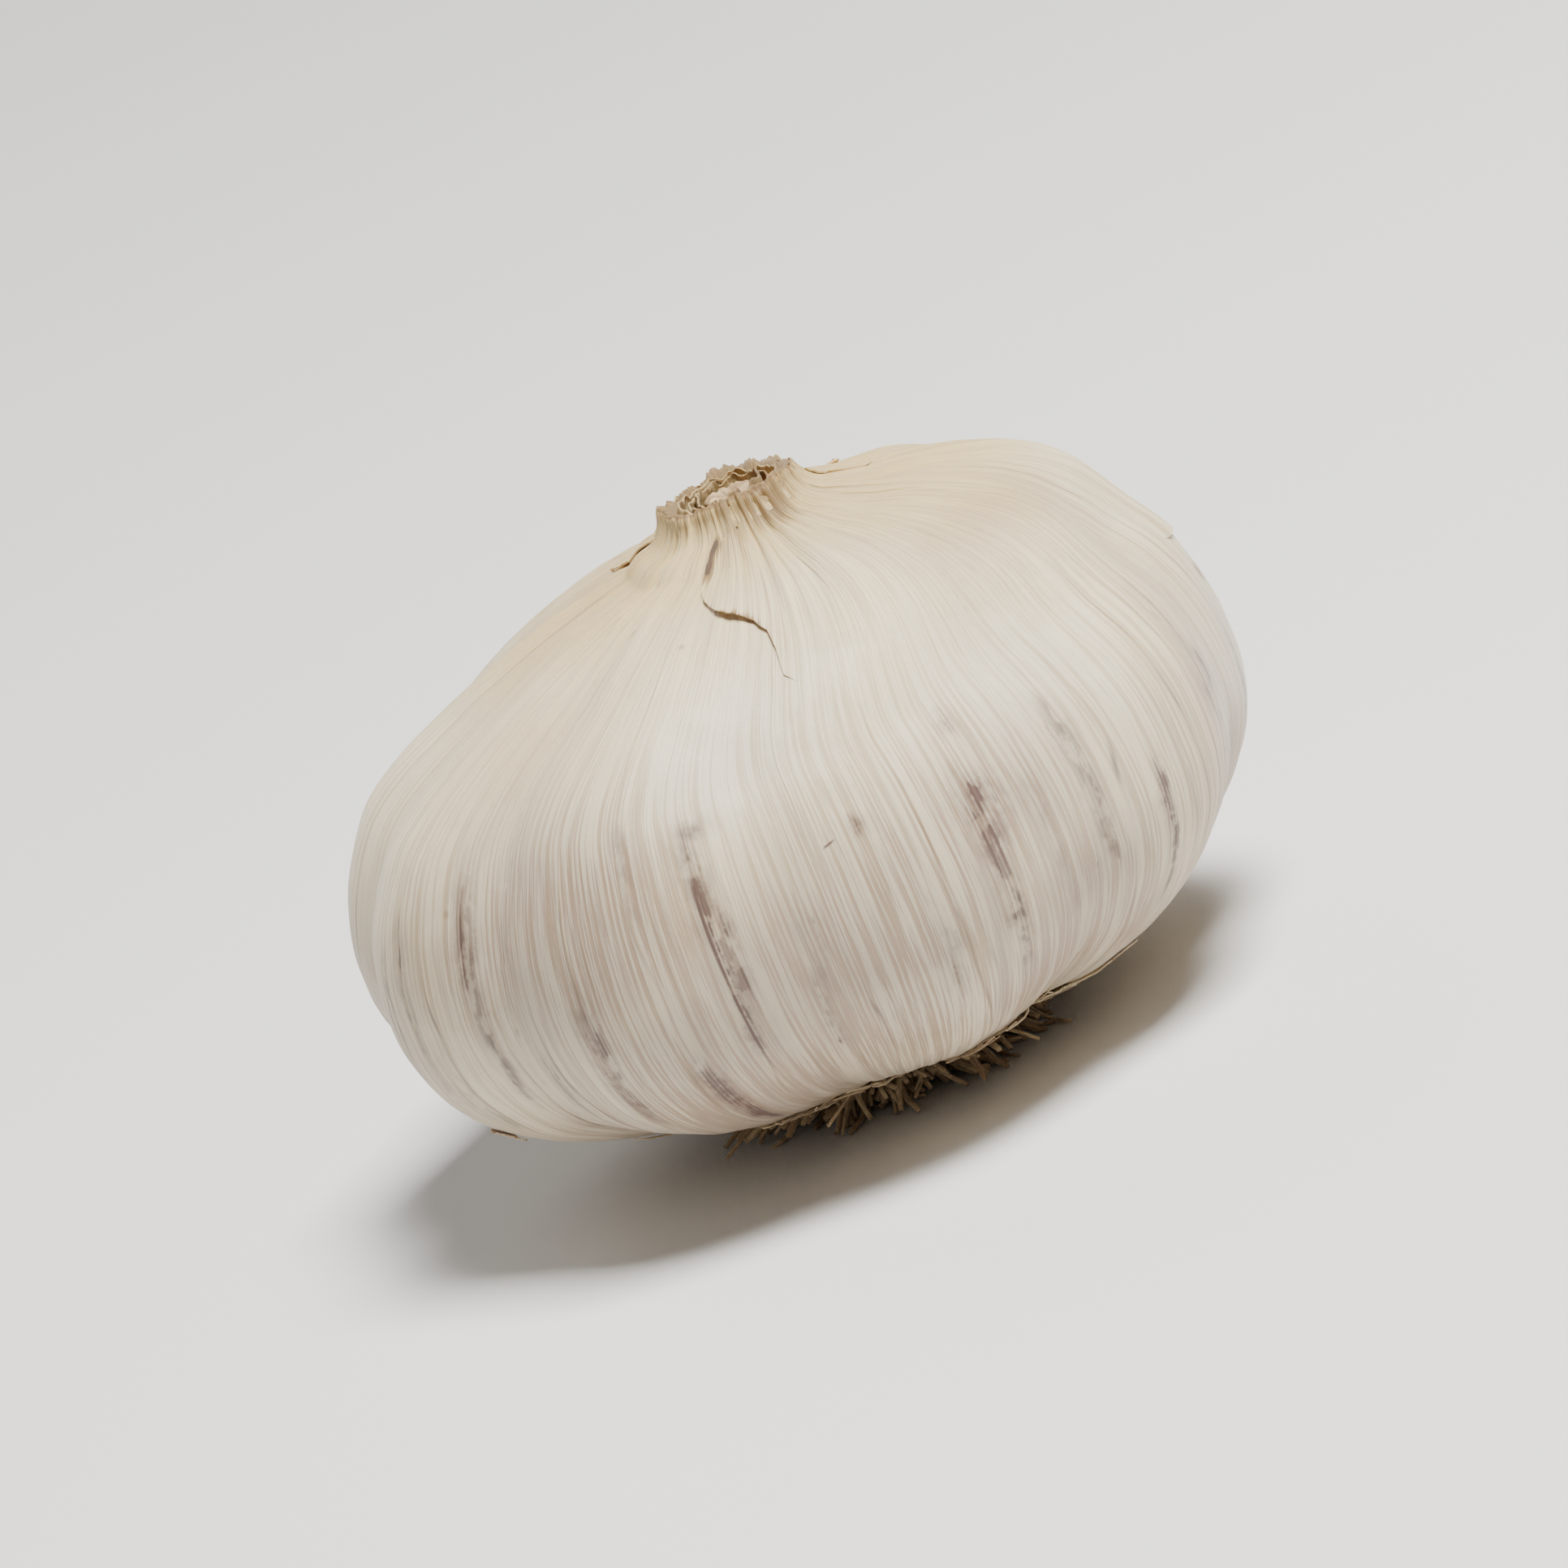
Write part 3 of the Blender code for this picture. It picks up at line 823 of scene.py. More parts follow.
def turned_piece(name, turn, radius, height, middle, values):
    """A closed round piece, whose first and last row of points each shrink to a pole."""
    radius[0], radius[-1] = 0, 0
    x, y = radius * np.cos(turn) + middle[0], -radius * np.sin(turn) + middle[1]
    return capped_rings(name, np.stack([x, y, height], axis=-1), values)


def stem_stub():
    """The dried stem inside the sheaths: a lumpy column with a frayed, dished top."""
    turn, share, radius, height = turned_profile(STUB_KNOTS, 30, 72)
    rough = layered_field(ring_places(turn, share, 1.0), 0.28, 181)
    radius = radius * (1 + 0.13 * rough) * MM
    height = (height + 0.16 * rough * smoothstep(share * 2 - 0.6)) * MM
    return turned_piece("stem_stub", turn, radius, height, NECK_LEAN, {"tip": share})


sheaths = [sheath(number, *measures) for number, measures in enumerate(SHEATHS)]
stub = stem_stub()
print("sheaths", len(sheaths), "stub faces", len(stub.data.polygons))

# %% [markdown]
# The root plate is cork: a shallow disc with a scarred, ringed face. It is turned from a
# profile and then roughened, but its middle stays flat, because the bulb rests on it.

# %% Root plate
DISC_KNOTS = (
    # radius and height in mm, from the middle of its top round to the middle of its face
    (0.0, 4.3), (4.0, 4.3), (8.2, 4.3), (8.5, 3.6), (8.15, 2.6), (7.9, 1.9),
    (7.0, 1.25), (5.9, 0.95), (5.1, 0.55), (4.6, 0.03), (2.5, 0.0), (0.0, 0.0),
)


def root_disc():
    """The turned profile, roughened along its rings and its radii away from the rest face."""
    turn, _, radius, height = turned_profile(DISC_KNOTS, 84, 200)
    radius, height = radius * MM, np.maximum(height, 0) * MM
    places = np.stack([radius * np.cos(turn), radius * np.sin(turn), height], axis=-1)
    lumps = layered_field(places, 1.5 * MM, 201, 4)
    rings = np.sin(radius / (0.42 * MM) + 2.2 * field(places, 3 * MM, 206))
    free = smoothstep((radius - 4.4 * MM) / (1.2 * MM))
    free = free * smoothstep((4.2 * MM - height) / (0.8 * MM))
    height = height + free * (0.16 * lumps + 0.06 * rings) * MM
    face = smoothstep((4.6 * MM - radius) / (0.5 * MM)) * smoothstep((radius - 0.4 * MM) / MM)
    face = face * smoothstep((0.3 * MM - height) / (0.2 * MM))
    height = np.maximum(height, 0) + face * (0.05 + 0.05 * rings) * MM
    height[-1] = height[-2].mean()
    radius = radius * (1 + 0.025 * free * lumps)
    # The shade value feeds the cork's painted shade: low in the hollows, high on the lumps.
    return turned_piece("root_disc", turn, radius, height, (0.0, 0.0), {"shade": 0.5 + 0.5 * lumps})


disc = root_disc()
print("root disc faces", len(disc.data.polygons))

# %% [markdown]
# Hundreds of roots grow from the plate's rim. Each is a thin tapered tube along a bent
# centre line, and all of one kind are worked out at once: the centre lines are one array of
# root, station and place, and a ring of points goes round each station.

# %% Roots
ROOTS = 900
ROOT_SEED = 211
HAIRS = 170
HAIR_SEED = 221
FLOOR_GAP = 0.05 * MM
HAIR_FEET = (7.6, 2.9)  # radius and height in mm of the ring from which the hairs grow


def unit(vectors):
    """The same directions, each one long."""
    return vectors / np.linalg.norm(vectors, axis=-1, keepdims=True)


def tubes(name, paths, thickness, sides, values):
    """Closed tubes along many paths at once, shaped root by station by place.

    At each station two directions square to the path carry a ring: place plus radius times
    (cosine times the one, plus sine times the other). A point closes each end.
    """
    roots, stations = paths.shape[:2]
    along = unit(np.gradient(paths, axis=1))
    aside = unit(np.cross(along, np.array([0.31, 0.17, 0.93])))
    across = np.cross(along, aside)
    angle = (np.arange(sides) * math.tau / sides)[:, None]
    spokes = np.cos(angle) * aside[:, :, None] + np.sin(angle) * across[:, :, None]
    rings = paths[:, :, None] + thickness[:, :, None, None] * spokes
    size = stations * sides + 2
    points = np.concatenate([rings.reshape(roots, -1, 3), paths[:, :1], paths[:, -1:]], axis=1)
    starts = (np.arange(roots) * size)[:, None, None]
    side = np.arange(sides)
    after = (side + 1) % sides
    last = size - 2 - sides
    foot = np.column_stack([np.full(sides, size - 2), after, side])
    tip = np.column_stack([np.full(sides, size - 1), last + side, last + after])
    quads = (grid_faces(stations, sides, True)[None] + starts).reshape(-1, 4)[:, ::-1]
    caps = (np.concatenate([foot, tip])[None] + starts).reshape(-1, 3)
    held = {}
    for label, array in values.items():
        array = np.broadcast_to(array, (roots, stations))
        rings = np.repeat(array, sides, axis=1)
        held[label] = np.concatenate([rings, array[:, :1], array[:, -1:]], axis=1)
    return mesh_object(name, points, [quads, caps], None, held)


def cut_roots():
    """Trimmed roots from the plate's rim, bent outwards and down, and never below the floor."""
    draw = np.random.default_rng(ROOT_SEED)
    turn = draw.uniform(0, math.tau, ROOTS)
    layer = draw.uniform(0, 1, ROOTS) ** 0.8
    foot_radius = (5.3 + 2.5 * layer) * MM
    foot_height = (0.9 + 2.0 * layer**1.5) * MM
    dip = np.radians(62 - 56 * layer + draw.uniform(-12, 14, ROOTS))
    length = (1.6 + 3.2 * layer) * draw.uniform(0.45, 1.15, ROOTS) * MM
    swing = turn + np.radians(draw.uniform(-26, 26, ROOTS))
    foot = np.stack([foot_radius * np.cos(turn), foot_radius * np.sin(turn), foot_height], axis=-1)
    out = np.cos(dip)
    heading = np.stack([out * np.cos(swing), out * np.sin(swing), -np.sin(dip)], axis=-1)
    bend = draw.normal(0, 0.22, (ROOTS, 3)) + np.array([0, 0, -0.10])
    share = np.linspace(-0.18, 1, 8)[None, :, None]
    curve = heading[:, None] * share + bend[:, None] * share**2
    paths = foot[:, None] + length[:, None, None] * curve
    wiggle = 0.06 * MM * field(paths, 0.7 * MM, 214)[..., None] * np.array([1.0, -0.8, 0.5])
    paths = paths + wiggle * (share > 0)
    width = draw.uniform(0.15, 0.31, ROOTS)[:, None] * MM
    along = np.clip(share[..., 0], 0, 1)
    thickness = width * (1 - 0.35 * along + 0.10 * field(paths, 0.9 * MM, 215))
    paths[..., 2] = np.maximum(paths[..., 2], thickness + FLOOR_GAP)
    values = {"along": along, "tint": draw.uniform(0, 1, ROOTS)[:, None]}
    return tubes("cut_roots", paths, thickness, 6, values)


def hair_roots():
    """Hair-fine roots that lie outwards along the underside of the skin."""
    draw = np.random.default_rng(HAIR_SEED)
    turn = draw.uniform(0, math.tau, HAIRS)[:, None]
    share = np.linspace(0, 1, 10)[None, :]
    step = draw.uniform(0.05, 0.17, HAIRS)[:, None] * share - 0.01
    sway = draw.normal(0, 0.16, HAIRS)[:, None] * share + 0.05 * np.sin(share * 5 + turn * 9)
    longitude = turn + sway
    rise = 0.40 * draw.uniform(0, 1, HAIRS)[:, None] * share * (1 - 0.5 * share)
    paths = papery(longitude, step, (0.16 + rise) * MM)
    inward = smoothstep(1 - share * 5)[..., None]
    radius, height = np.array(HAIR_FEET) * MM
    level = np.full(longitude.shape, height)
    feet = np.stack([radius * np.cos(longitude), -radius * np.sin(longitude), level], axis=-1)
    paths = paths * (1 - inward) + feet * inward
    thickness = draw.uniform(0.06, 0.13, HAIRS)[:, None] * MM * (1 - 0.55 * share)
    values = {"along": share, "tint": draw.uniform(0, 1, HAIRS)[:, None]}
    return tubes("hair_roots", paths, thickness, 4, values)


roots = cut_roots()
hairs = hair_roots()
print("root faces", len(roots.data.polygons), "hair faces", len(hairs.data.polygons))

# %% [markdown]
# A material is a tree of nodes. These few helpers add a node with its inputs in one line,
# so that each paint further down reads like a sentence: mix this colour into that one, as
# much as this mask says. Node groups are built the same way.

# %% Node helpers
class Tree:
    """The nodes of one material or group, with a short call for each kind that is used."""

    def __init__(self, node_tree):
        self.nodes, self.links = node_tree.nodes, node_tree.links

    def feed(self, socket, value):
        """Gives an input socket a plain value, or a link from an output socket."""
        if isinstance(value, bpy.types.NodeSocket):
            self.links.new(value, socket)
        else:
            socket.default_value = value

    def add(self, kind, inputs, **settings):
        """One new node, with its settings, and its inputs given as values or as sockets."""
        node = self.nodes.new("ShaderNode" + kind)
        for name, value in settings.items():
            setattr(node, name, value)
        for name, value in inputs.items():
            self.feed(node.inputs[name], value)
        return node

    def maths(self, operation, *values):
        """The result of one sum on numbers or sockets."""
        return self.add("Math", dict(enumerate(values)), operation=operation).outputs[0]

    def plus(self, first, second):
        """Their sum."""
        return self.maths("ADD", first, second)

    def minus(self, first, second):
        """The first less the second."""
        return self.maths("SUBTRACT", first, second)

    def times(self, product, *others):
        """All of them multiplied."""
        for other in others:
            product = self.maths("MULTIPLY", product, other)
        return product

    def vectors(self, operation, first, second):
        """The result of one sum on vectors."""
        return self.add("VectorMath", {0: first, 1: second}, operation=operation).outputs[0]

    def between(self, value, low, high, start=0.0, end=1.0):
        """A soft ramp: start where value is low, end where it is high."""
        inputs = {"Value": value, "From Min": low, "From Max": high, "To Min": start, "To Max": end}
        return self.add("MapRange", inputs, interpolation_type="SMOOTHSTEP").outputs[0]

    def mixed(self, share, *colours):
        """Two colours mixed by a share from 0 to 1."""
        first, second = ((*each, 1) if isinstance(each, tuple) else each for each in colours)
        return self.add("Mix", {0: share, 6: first, 7: second}, data_type="RGBA").outputs[2]

    def noise(self, places, scale, detail=2.0, roughness=0.5):
        """Blender's smooth noise at these places, about 0.5 on average."""
        inputs = {"Vector": places, "Scale": scale, "Detail": detail, "Roughness": roughness}
        return self.add("TexNoise", inputs).outputs["Fac"]

    def held(self, name, output="Fac"):
        """A value that the piece's mesh holds at each point."""
        return self.add("Attribute", {}, attribute_name=name).outputs[output]

    def group(self, node_group, inputs):
        """The outputs of a node group placed in this tree."""
        return self.add("Group", inputs, node_tree=node_group).outputs


def node_group(name, inputs, outputs, build):
    """A group from a function that takes its tree and its inputs and returns its outputs."""
    group = bpy.data.node_groups.new(name, "ShaderNodeTree")
    for label, value in inputs.items():
        kind = "NodeSocketVector" if value is None else "NodeSocketFloat"
        socket = group.interface.new_socket(label, in_out="INPUT", socket_type=kind)
        if value is not None:
            socket.default_value = value
    for label in outputs:
        group.interface.new_socket(label, in_out="OUTPUT", socket_type="NodeSocketFloat")
    given = group.nodes.new("NodeGroupInput").outputs
    end = group.nodes.new("NodeGroupOutput")
    for label, value in zip(outputs, build(Tree(group), given)):
        group.links.new(value, end.inputs[label])
    return group


def new_material(name, **constants):
    """A material with one Principled shader, whose even values are set on its own sockets."""
    material = bpy.data.materials.new(name)
    material.use_nodes = True
    nodes = material.node_tree.nodes
    shader = next(node for node in nodes if node.type == "BSDF_PRINCIPLED")
    for label, value in constants.items():
        shader.inputs[label.replace("_", " ")].default_value = value
    return material, Tree(material.node_tree), shader


def finished(tree, shader, colour, roughness, height, distance):
    """Feeds the shader. The height, 0 to 1, goes through a Bump node of that distance in mm."""
    bump = tree.add("Bump", {"Height": height, "Distance": distance * MM, "Strength": 1.0})
    tree.feed(shader.inputs["Base Color"], colour)
    tree.feed(shader.inputs["Roughness"], roughness)
    tree.feed(shader.inputs["Normal"], bump.outputs[0])


print("node helpers ready")

# %% [markdown]
# Paper skin is full of veins. They are lines of one count round the bulb, which wander a
# little, each with a strength of its own, and between them there are fibres too fine to
# count. Lines are worked out from the map's U, and fibres are noise stretched lengthwise.

# %% Node group: veins of the skin
def build_veins(tree, given):
    """Line mask: 1 where U times the count, plus a wobble, is near a whole number."""
    shifted = tree.vectors("ADD", given["Around"], given["Offset"])
    stretch = tree.vectors("MULTIPLY", shifted, (1.0, 1.0, 0.55))
    wobble = tree.noise(stretch, 5.0, 2.0, 0.45)
    place = tree.times(given["Turn"], given["Count"])
    place = tree.plus(place, tree.times(tree.minus(wobble, 0.5), 3.0))
    rounded = tree.maths("ROUND", place)
    away = tree.maths("ABSOLUTE", tree.minus(place, rounded))
    number = tree.maths("FLOORED_MODULO", rounded, given["Count"])
    number = {"W": tree.plus(number, given["Offset"])}
    chance = tree.add("TexWhiteNoise", number, noise_dimensions="1D").outputs["Value"]
    line = tree.minus(1.0, tree.between(away, 0.0, given["Width"]))
    patchy = tree.between(tree.noise(stretch, 7.0), 0.34, 0.62)
    lines = tree.times(line, tree.times(tree.maths("POWER", chance, 1.6), patchy))
    own_line = {0: tree.times(chance, 97.0), 1: tree.times(given["Step"], 7.0)}
    along = tree.add("CombineXYZ", own_line).outputs[0]
    broken = tree.between(tree.noise(along, 1.0, 2.0, 0.6), 0.57, 0.70)
    dashes = tree.times(line, broken, tree.between(chance, 0.45, 0.9))
    fine = tree.vectors("MULTIPLY", shifted, (1.0, 1.0, 0.035))
    fibres = tree.between(tree.noise(fine, 120.0, 4.0, 0.68), 0.28, 0.72)
    bands = tree.noise(tree.vectors("MULTIPLY", shifted, (1.0, 1.0, 0.10)), 26.0)
    fibres = tree.plus(tree.times(fibres, 0.55), tree.times(bands, 0.45))
    height = tree.plus(tree.times(lines, 0.55), tree.times(fibres, 0.45))
    return lines, dashes, fibres, height


VEIN_INPUTS = {
    "Turn": 0.0, "Step": 0.0, "Around": None, "Count": 150.0, "Offset": 0.0, "Width": 0.17,
}
VEIN_OUTPUTS = ("Lines", "Dashes", "Fibres", "Height")
veins = node_group("skin veins", VEIN_INPUTS, VEIN_OUTPUTS, build_veins)
print("veins group nodes", len(veins.nodes))

# %% [markdown]
# No two patches of paper have quite one colour. This group gives slow clouds, a fine dry
# grain and a few dark specks, all from Object coordinates, because they don't follow the
# veins. The paper, the cork and the roots all use it, each at its own scale.

# %% Node group: blotches, grain and specks
def build_blotch(tree, given):
    """Clouds and grain are noise; a speck is the middle of a chosen few of many small cells."""
    places = given["Places"]
    cloud = tree.between(tree.noise(places, given["Cloud Scale"], 4.0, 0.55), 0.30, 0.70)
    grain = tree.noise(places, given["Grain Scale"], 3.0, 0.6)
    cells = tree.add("TexVoronoi", {"Vector": places, "Scale": given["Speck Scale"]}).outputs
    middle = tree.minus(1.0, tree.between(cells["Distance"], 0.03, 0.16))
    chosen = tree.add("SeparateColor", {"Color": cells["Color"]}).outputs[0]
    return cloud, grain, tree.times(middle, tree.maths("GREATER_THAN", chosen, 0.955))


BLOTCH_INPUTS = {"Places": None, "Cloud Scale": 90.0, "Grain Scale": 1500.0, "Speck Scale": 420.0}
BLOTCH_OUTPUTS = ("Cloud", "Grain", "Specks")
blotch = node_group("blotches and specks", BLOTCH_INPUTS, BLOTCH_OUTPUTS, build_blotch)


def blotched(tree, **scales):
    """Clouds, grain and specks in a material, from its piece's Object coordinates."""
    inputs = {label.replace("_", " "): value for label, value in scales.items()}
    inputs["Places"] = tree.add("TexCoord", {}).outputs["Object"]
    return tree.group(blotch, inputs)


print("blotch group nodes", len(blotch.nodes))

# %% [markdown]
# Every papery piece has the same paints in the same order, from the bare cream up to the
# dirt, but not in the same amounts: the outer skin is duller and more yellow, the one below
# is pearly, and the neck is dried brown. One function builds each of them from its amounts.

# %% Paper materials
CREAM = (0.790, 0.670, 0.450)
PEARL = (0.890, 0.808, 0.620)
STRAW = (0.690, 0.500, 0.215)
# Mauve, also used as the colour of painted shade.
MAUVE_AND_SHADE_TONE = (0.318, 0.240, 0.192)
VEIN = (0.430, 0.290, 0.140)
STREAK = (0.088, 0.046, 0.041)
TAN = (0.250, 0.155, 0.062)
SCORCHED = (0.075, 0.040, 0.022)
DIRT = (0.170, 0.100, 0.045)
PEARLY = 0.85
SCAR = (87.9 / 360, 0.598, 1.15 / 360, 0.0022)  # turn, step, half its length, half its width


def scar(tree, turn, step):
    """The one short level mark on the front: near its longitude and its step at once."""
    own_turn, own_step, half_turn, half_step = SCAR
    aside = tree.minus(turn, own_turn)
    above = tree.minus(tree.plus(step, tree.times(aside, 0.9)), own_step)
    aside, above = tree.maths("ABSOLUTE", aside), tree.maths("ABSOLUTE", above)
    along = tree.between(aside, half_turn, 0.3 * half_turn)
    return tree.times(along, tree.between(above, half_step, 0.3 * half_step, 0.0, 0.85))


def paper(name, pearly, yellow, vein, fibre, roughness, relief_size, count, offset, **constants):
    """Cream, then pearl, straw, mauve with painted shade, fibres, veins, painted shade in the clove
    valleys, streaks, brown tips, dirt and specks.
    """
    material, tree, shader = new_material(name, **constants)
    held, plus, times, between = tree.held, tree.plus, tree.times, tree.between
    around = held("around", "Vector")
    skin_map = tree.add("UVMap", {}, uv_map="skin_map").outputs[0]
    turn, step, _ = tree.add("SeparateXYZ", {0: skin_map}).outputs
    lines = {"Turn": turn, "Step": step, "Around": around, "Count": count, "Offset": offset}
    finer = {"Count": 4 * count, "Offset": offset + 5, "Width": 0.55}
    wider = {"Count": 0.4 * count, "Offset": offset + 9, "Width": 0.40}
    veined = tree.group(veins, lines)
    threads = tree.group(veins, {**lines, **finer})
    wide = tree.group(veins, {**lines, **wider})
    marks = blotched(tree)
    fibres = veined["Fibres"]
    mauve_and_shade, fade, pearl, tip = map(held, ("mauve_and_shade", "fade", "pearl", "tip"))
    low = times(between(step, 0.70, 0.50), between(step, 0.04, 0.16))
    smooth = between(pearl, 0.0, 1.0, 1.0, 0.45)

    colour = CREAM

    def paint(share, over):
        """Mixes the next colour over those laid so far."""
        nonlocal colour
        colour = tree.mixed(share, colour, over)

    thin = plus(pearly, times(fade, PEARLY - pearly))
    paint(times(thin, tree.maths("MAXIMUM", pearl, times(marks["Cloud"], 0.6))), PEARL)
    warm = times(held("warm"), between(fibres, 0.30, 0.62, 0.60, 1.0))
    paint(tree.maths("MAXIMUM", warm, tree.minus(yellow, times(fade, yellow))), STRAW)
    # Mauve over the lower half and the left: partly the skin's own colour, partly painted shade.
    paint(times(mauve_and_shade, between(fibres, 0.36, 0.62, 0.88, 0.46)), MAUVE_AND_SHADE_TONE)
    paint(between(fibres, 0.56, 0.34, 0.0, fibre), VEIN)
    line_colour = tree.mixed(times(low, 0.7), VEIN, STREAK)
    paint(times(veined["Lines"], plus(vein, times(mauve_and_shade, 0.35)), smooth), line_colour)
    paint(times(wide["Lines"], low, plus(0.22, times(mauve_and_shade, 0.55)), smooth), MAUVE_AND_SHADE_TONE)
    # Painted shade in the valleys between the cloves.
    paint(times(held("valley_shade"), 0.20), MAUVE_AND_SHADE_TONE)
    paint(times(veined["Dashes"], low, 0.75), STREAK)

    uneven = between(tree.noise(around, 9.0, 3.0, 0.6), 0.36, 0.64)
    clumps = between(tree.noise(around, 34.0, 3.0, 0.62), 0.40, 0.60)
    uneven = plus(times(uneven, 0.35), times(clumps, 0.65))
    core = plus(times(threads["Lines"], 1.6), times(threads["Dashes"], 1.3))
    streak = times(held("streak"), plus(0.20, times(uneven, 0.90)), plus(0.80, core))
    streak = tree.maths("MAXIMUM", streak, scar(tree, turn, step))
    paint(tree.maths("MINIMUM", streak, 0.90), STREAK)

    dried = plus(tip, times(tree.minus(0.45, fibres), 1.6))
    paint(times(between(tip, 0.0, 0.25), between(dried, 0.20, 0.80), 0.92), TAN)
    paint(between(tip, 1.0, 1.5, 0.0, 0.9), SCORCHED)
    paint(times(held("soil"), between(marks["Cloud"], 0.0, 0.9, 0.45, 0.92)), DIRT)
    paint(times(marks["Specks"], 0.55), TAN)
    gloss = between(fibres, 0.35, 0.65, roughness - 0.06, roughness + 0.08)
    gloss = plus(gloss, times(marks["Cloud"], 0.08))
    height = plus(times(veined["Height"], smooth, 0.85), times(marks["Grain"], 0.15))
    finished(tree, shader, colour, gloss, height, relief_size)
    return material


def soft_paper(weight, scale):
    """Light that goes into the paper and comes out beside: how much, and how far in mm."""
    return {"Subsurface_Weight": weight, "Subsurface_Scale": scale * MM}


# Each: name, pearl, yellow, vein, fibre, roughness, relief in mm, count of veins and offset
outer_paper = paper(
    "dull outer paper", 0.45, 0.12, 0.60, 0.45, 0.50, 0.16, 160, 3.0,
    Sheen_Weight=0.10, Sheen_Roughness=0.5, **soft_paper(0.08, 0.6),
)
inner_paper = paper(
    "pearly inner paper", PEARLY, 0.0, 0.66, 0.38, 0.40, 0.17, 160, 3.0,
    Sheen_Weight=0.10, Sheen_Roughness=0.35, **soft_paper(0.12, 1.0),
)
neck_paper = paper(
    "dried neck paper", 0.1, 0.45, 0.6, 0.55, 0.58, 0.12, 60, 7.0,
    Sheen_Weight=0.08, Sheen_Roughness=0.5, **soft_paper(0.08, 0.5),
)
print("paper nodes", len(outer_paper.node_tree.nodes))

# %% [markdown]
# The root plate is cork, dark in its hollows and pale on its lumps, which is painted shade.
# The roots are dry straw, each of its own tone, and darker at the foot.

# %% Cork and root materials
CORK_DARK = (0.060, 0.036, 0.018)
CORK_PALE = (0.330, 0.215, 0.110)
ROOT_PALE = (0.640, 0.480, 0.270)
ROOT_BROWN = (0.300, 0.180, 0.085)
HAIR_PALE = (0.60, 0.48, 0.31)
HAIR_BROWN = (0.34, 0.22, 0.12)


def cork():
    """Dark brown with painted shade: paler where the mesh's own shade value says that it stands
    proud, darker in its hollows.
    """
    material, tree, shader = new_material("corky root plate", Roughness=0.85, Sheen_Weight=0.1)
    cloud, grain, _ = blotched(tree, Cloud_Scale=420.0, Grain_Scale=3200.0)
    # Painted shade: darker in the hollows, paler on the lumps.
    proud_and_lit = tree.times(tree.held("shade"), tree.between(cloud, 0.0, 1.0, 0.4, 1.2))
    colour = tree.mixed(tree.between(proud_and_lit, 0.15, 0.85), CORK_DARK, CORK_PALE)
    colour = tree.mixed(tree.between(grain, 0.55, 0.35, 0.0, 0.5), colour, CORK_DARK)
    height = tree.plus(tree.times(cloud, 0.6), tree.times(grain, 0.4))
    finished(tree, shader, colour, tree.between(cloud, 0.0, 1.0, 0.92, 0.74), height, 0.22)
    return material


def root_fibre(name, pale, brown):
    """Between two browns by each root's tint, darker at its foot, with a fine dry grain."""
    material, tree, shader = new_material(name, Roughness=0.8, Sheen_Weight=0.15)
    cloud, grain, _ = blotched(tree, Cloud_Scale=700.0, Grain_Scale=4200.0)
    colour = tree.mixed(tree.between(tree.held("tint"), 0.0, 1.0, 0.05, 0.85), pale, brown)
    foot = tree.between(tree.held("along"), 0.45, 0.0, 0.0, 0.55)
    colour = tree.mixed(foot, colour, CORK_DARK)
    colour = tree.mixed(tree.between(cloud, 0.6, 0.1, 0.0, 0.5), colour, brown)
    finished(tree, shader, colour, tree.between(grain, 0.3, 0.7, 0.72, 0.9), grain, 0.06)
    return material


def stem_fibre():
    """The dried stem inside the neck: tan, darker towards the middle of its frayed top."""
    material, tree, shader = new_material("dried stem", Roughness=0.8)
    cloud, grain, _ = blotched(tree, Cloud_Scale=900.0, Grain_Scale=4000.0)
    colour = tree.mixed(cloud, ROOT_BROWN, ROOT_PALE)
    colour = tree.mixed(tree.between(tree.held("tip"), 0.75, 1.0, 0.0, 0.8), colour, CORK_DARK)
    finished(tree, shader, colour, tree.between(grain, 0.3, 0.7, 0.7, 0.9), grain, 0.12)
    return material


dressing = {
    skin: inner_paper,
    outer_skin: outer_paper,
    **{piece: outer_paper for piece in loose},
    **{tube: neck_paper for tube in sheaths},
    stub: stem_fibre(),
    disc: cork(),
    roots: root_fibre("dry cut root", ROOT_PALE, ROOT_BROWN),
    hairs: root_fibre("hair root", HAIR_PALE, HAIR_BROWN),
}
for piece, material in dressing.items():
    piece.data.materials.append(material)
print("pieces dressed", len(dressing))

# %% [markdown]
# Every piece rides on the bulb's one body. The main skin stands for the plain papery solid
# and the disc for the plain root plate, which are hidden.

# %% Tie the pieces to the frame
for piece in dressing:
    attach(piece, "root")
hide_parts("bulb")
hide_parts("root_plate")
print("pieces that ride", sorted(piece.name for piece in dressing))

# %% [markdown]
# The bulb stands on a plain pale floor, which is part of the stage. Its edge is far away,
# so that no view from above the floor shows it near the bulb.

# %% Floor and world
FLOOR_REACH = 4.0
FLOOR_COLOUR = (0.76, 0.755, 0.74, 1)
SKY_COLOUR = (0.95, 0.97, 1.0, 1)
SKY_STRENGTH = 0.16
floor_corners = FLOOR_REACH * np.array([[-1, -1, 0], [1, -1, 0], [1, 1, 0], [-1, 1, 0]])
floor = mesh_object("floor", floor_corners, [np.array([[0, 1, 2, 3]])])
floor_material, _, _ = new_material("plain floor", Base_Color=FLOOR_COLOUR, Roughness=0.9)
floor.data.materials.append(floor_material)
floor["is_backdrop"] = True

world = bpy.data.worlds.new("soft studio")
world.use_nodes = True
sky = next(node for node in world.node_tree.nodes if node.type == "BACKGROUND")
sky.inputs["Color"].default_value = SKY_COLOUR
sky.inputs["Strength"].default_value = SKY_STRENGTH
bpy.context.scene.world = world
print("floor reaches to", FLOOR_REACH, "m")

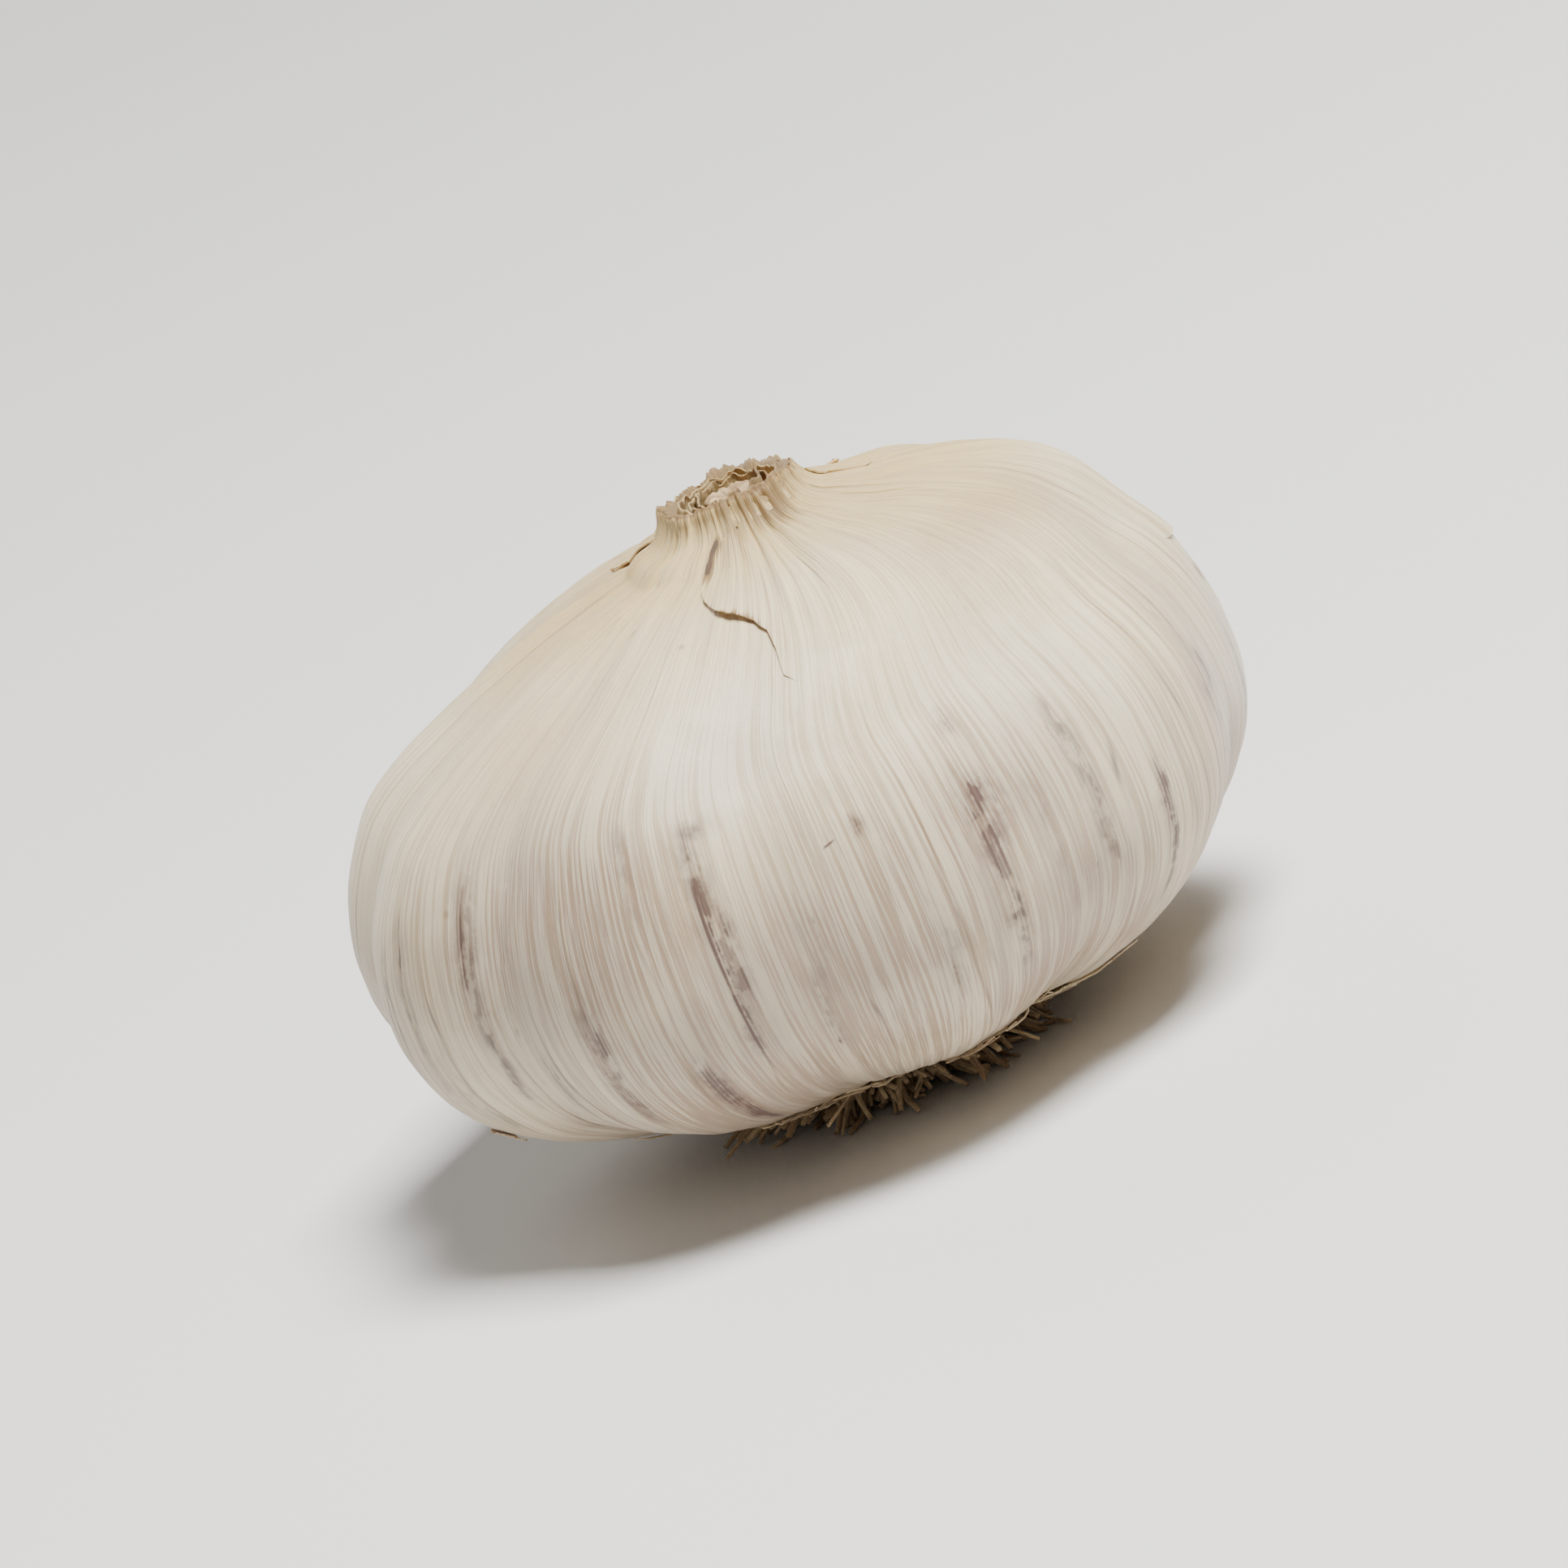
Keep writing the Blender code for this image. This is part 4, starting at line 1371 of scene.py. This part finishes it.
# %% [markdown]
# The photograph looks down on the bulb a little, from its front, and is turned so that the
# neck leans to the upper left. The lens is long, as in a product photograph. A soft key
# light high on the right shows the cloves' arches, a weak fill on the left keeps the
# shadows open, and a light behind lifts the outline off the floor.

# %% Camera and lights
CAMERA_RAISED = math.radians(16)
CAMERA_ROLLED = math.radians(23)
CAMERA_AWAY = 0.55
SENSOR_WIDTH = 36
FRAME_WIDTH = 0.096
AIM = Vector((0.0, 0.0, 0.0190))
LIGHTS = (
    # name, place in metres, size in metres, power in watts, colour
    ("key", (0.24, -0.19, 0.72), 0.30, 17.5, (1.0, 0.985, 0.95)),
    ("fill", (-0.62, -0.40, 0.22), 0.50, 0.3, (0.97, 0.98, 1.0)),
    ("back", (-0.28, 0.60, 0.45), 0.50, 2.2, (1.0, 0.99, 0.97)),
)


def linked(name, data, matrix):
    """A new object in the scene at that matrix."""
    thing = bpy.data.objects.new(name, data)
    thing.matrix_world = matrix
    bpy.context.scene.collection.objects.link(thing)
    return thing


def soft_light(name, place, size, power, colour):
    """A square area light that faces the middle of the bulb."""
    data = bpy.data.lights.new(name, "AREA")
    data.size, data.energy, data.color = size, power, colour
    facing = (Vector(place) - AIM).to_track_quat("Z", "Y").to_matrix().to_4x4()
    return linked(name, data, Matrix.Translation(place) @ facing)


right_level = Vector((1, 0, 0))
up_level = Vector((0, math.sin(CAMERA_RAISED), math.cos(CAMERA_RAISED)))
backward = Vector((0, -math.cos(CAMERA_RAISED), math.sin(CAMERA_RAISED)))
right = math.cos(CAMERA_ROLLED) * right_level - math.sin(CAMERA_ROLLED) * up_level
up = math.sin(CAMERA_ROLLED) * right_level + math.cos(CAMERA_ROLLED) * up_level
turned = Matrix((right, up, backward)).transposed().to_4x4()
camera_data = bpy.data.cameras.new("camera")
camera_data.sensor_width = SENSOR_WIDTH
camera_data.lens = SENSOR_WIDTH * CAMERA_AWAY / FRAME_WIDTH
camera_data.clip_start = 0.01
camera_place = Matrix.Translation(AIM + backward * CAMERA_AWAY)
bpy.context.scene.camera = linked("camera", camera_data, camera_place @ turned)
lamps = [soft_light(*settings) for settings in LIGHTS]
print("lens", round(camera_data.lens, 1), "mm, lights", len(lamps))

# %% Print the sizes and finish
visual_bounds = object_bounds()
sizes = {
    "cad": [[float(value) for value in corner] for corner in cad_bounds],
    "visual": [[float(value) for value in corner] for corner in visual_bounds],
}
for label, box in sizes.items():
    print(label, "box in mm", np.round(np.array(box) / MM, 2).tolist())
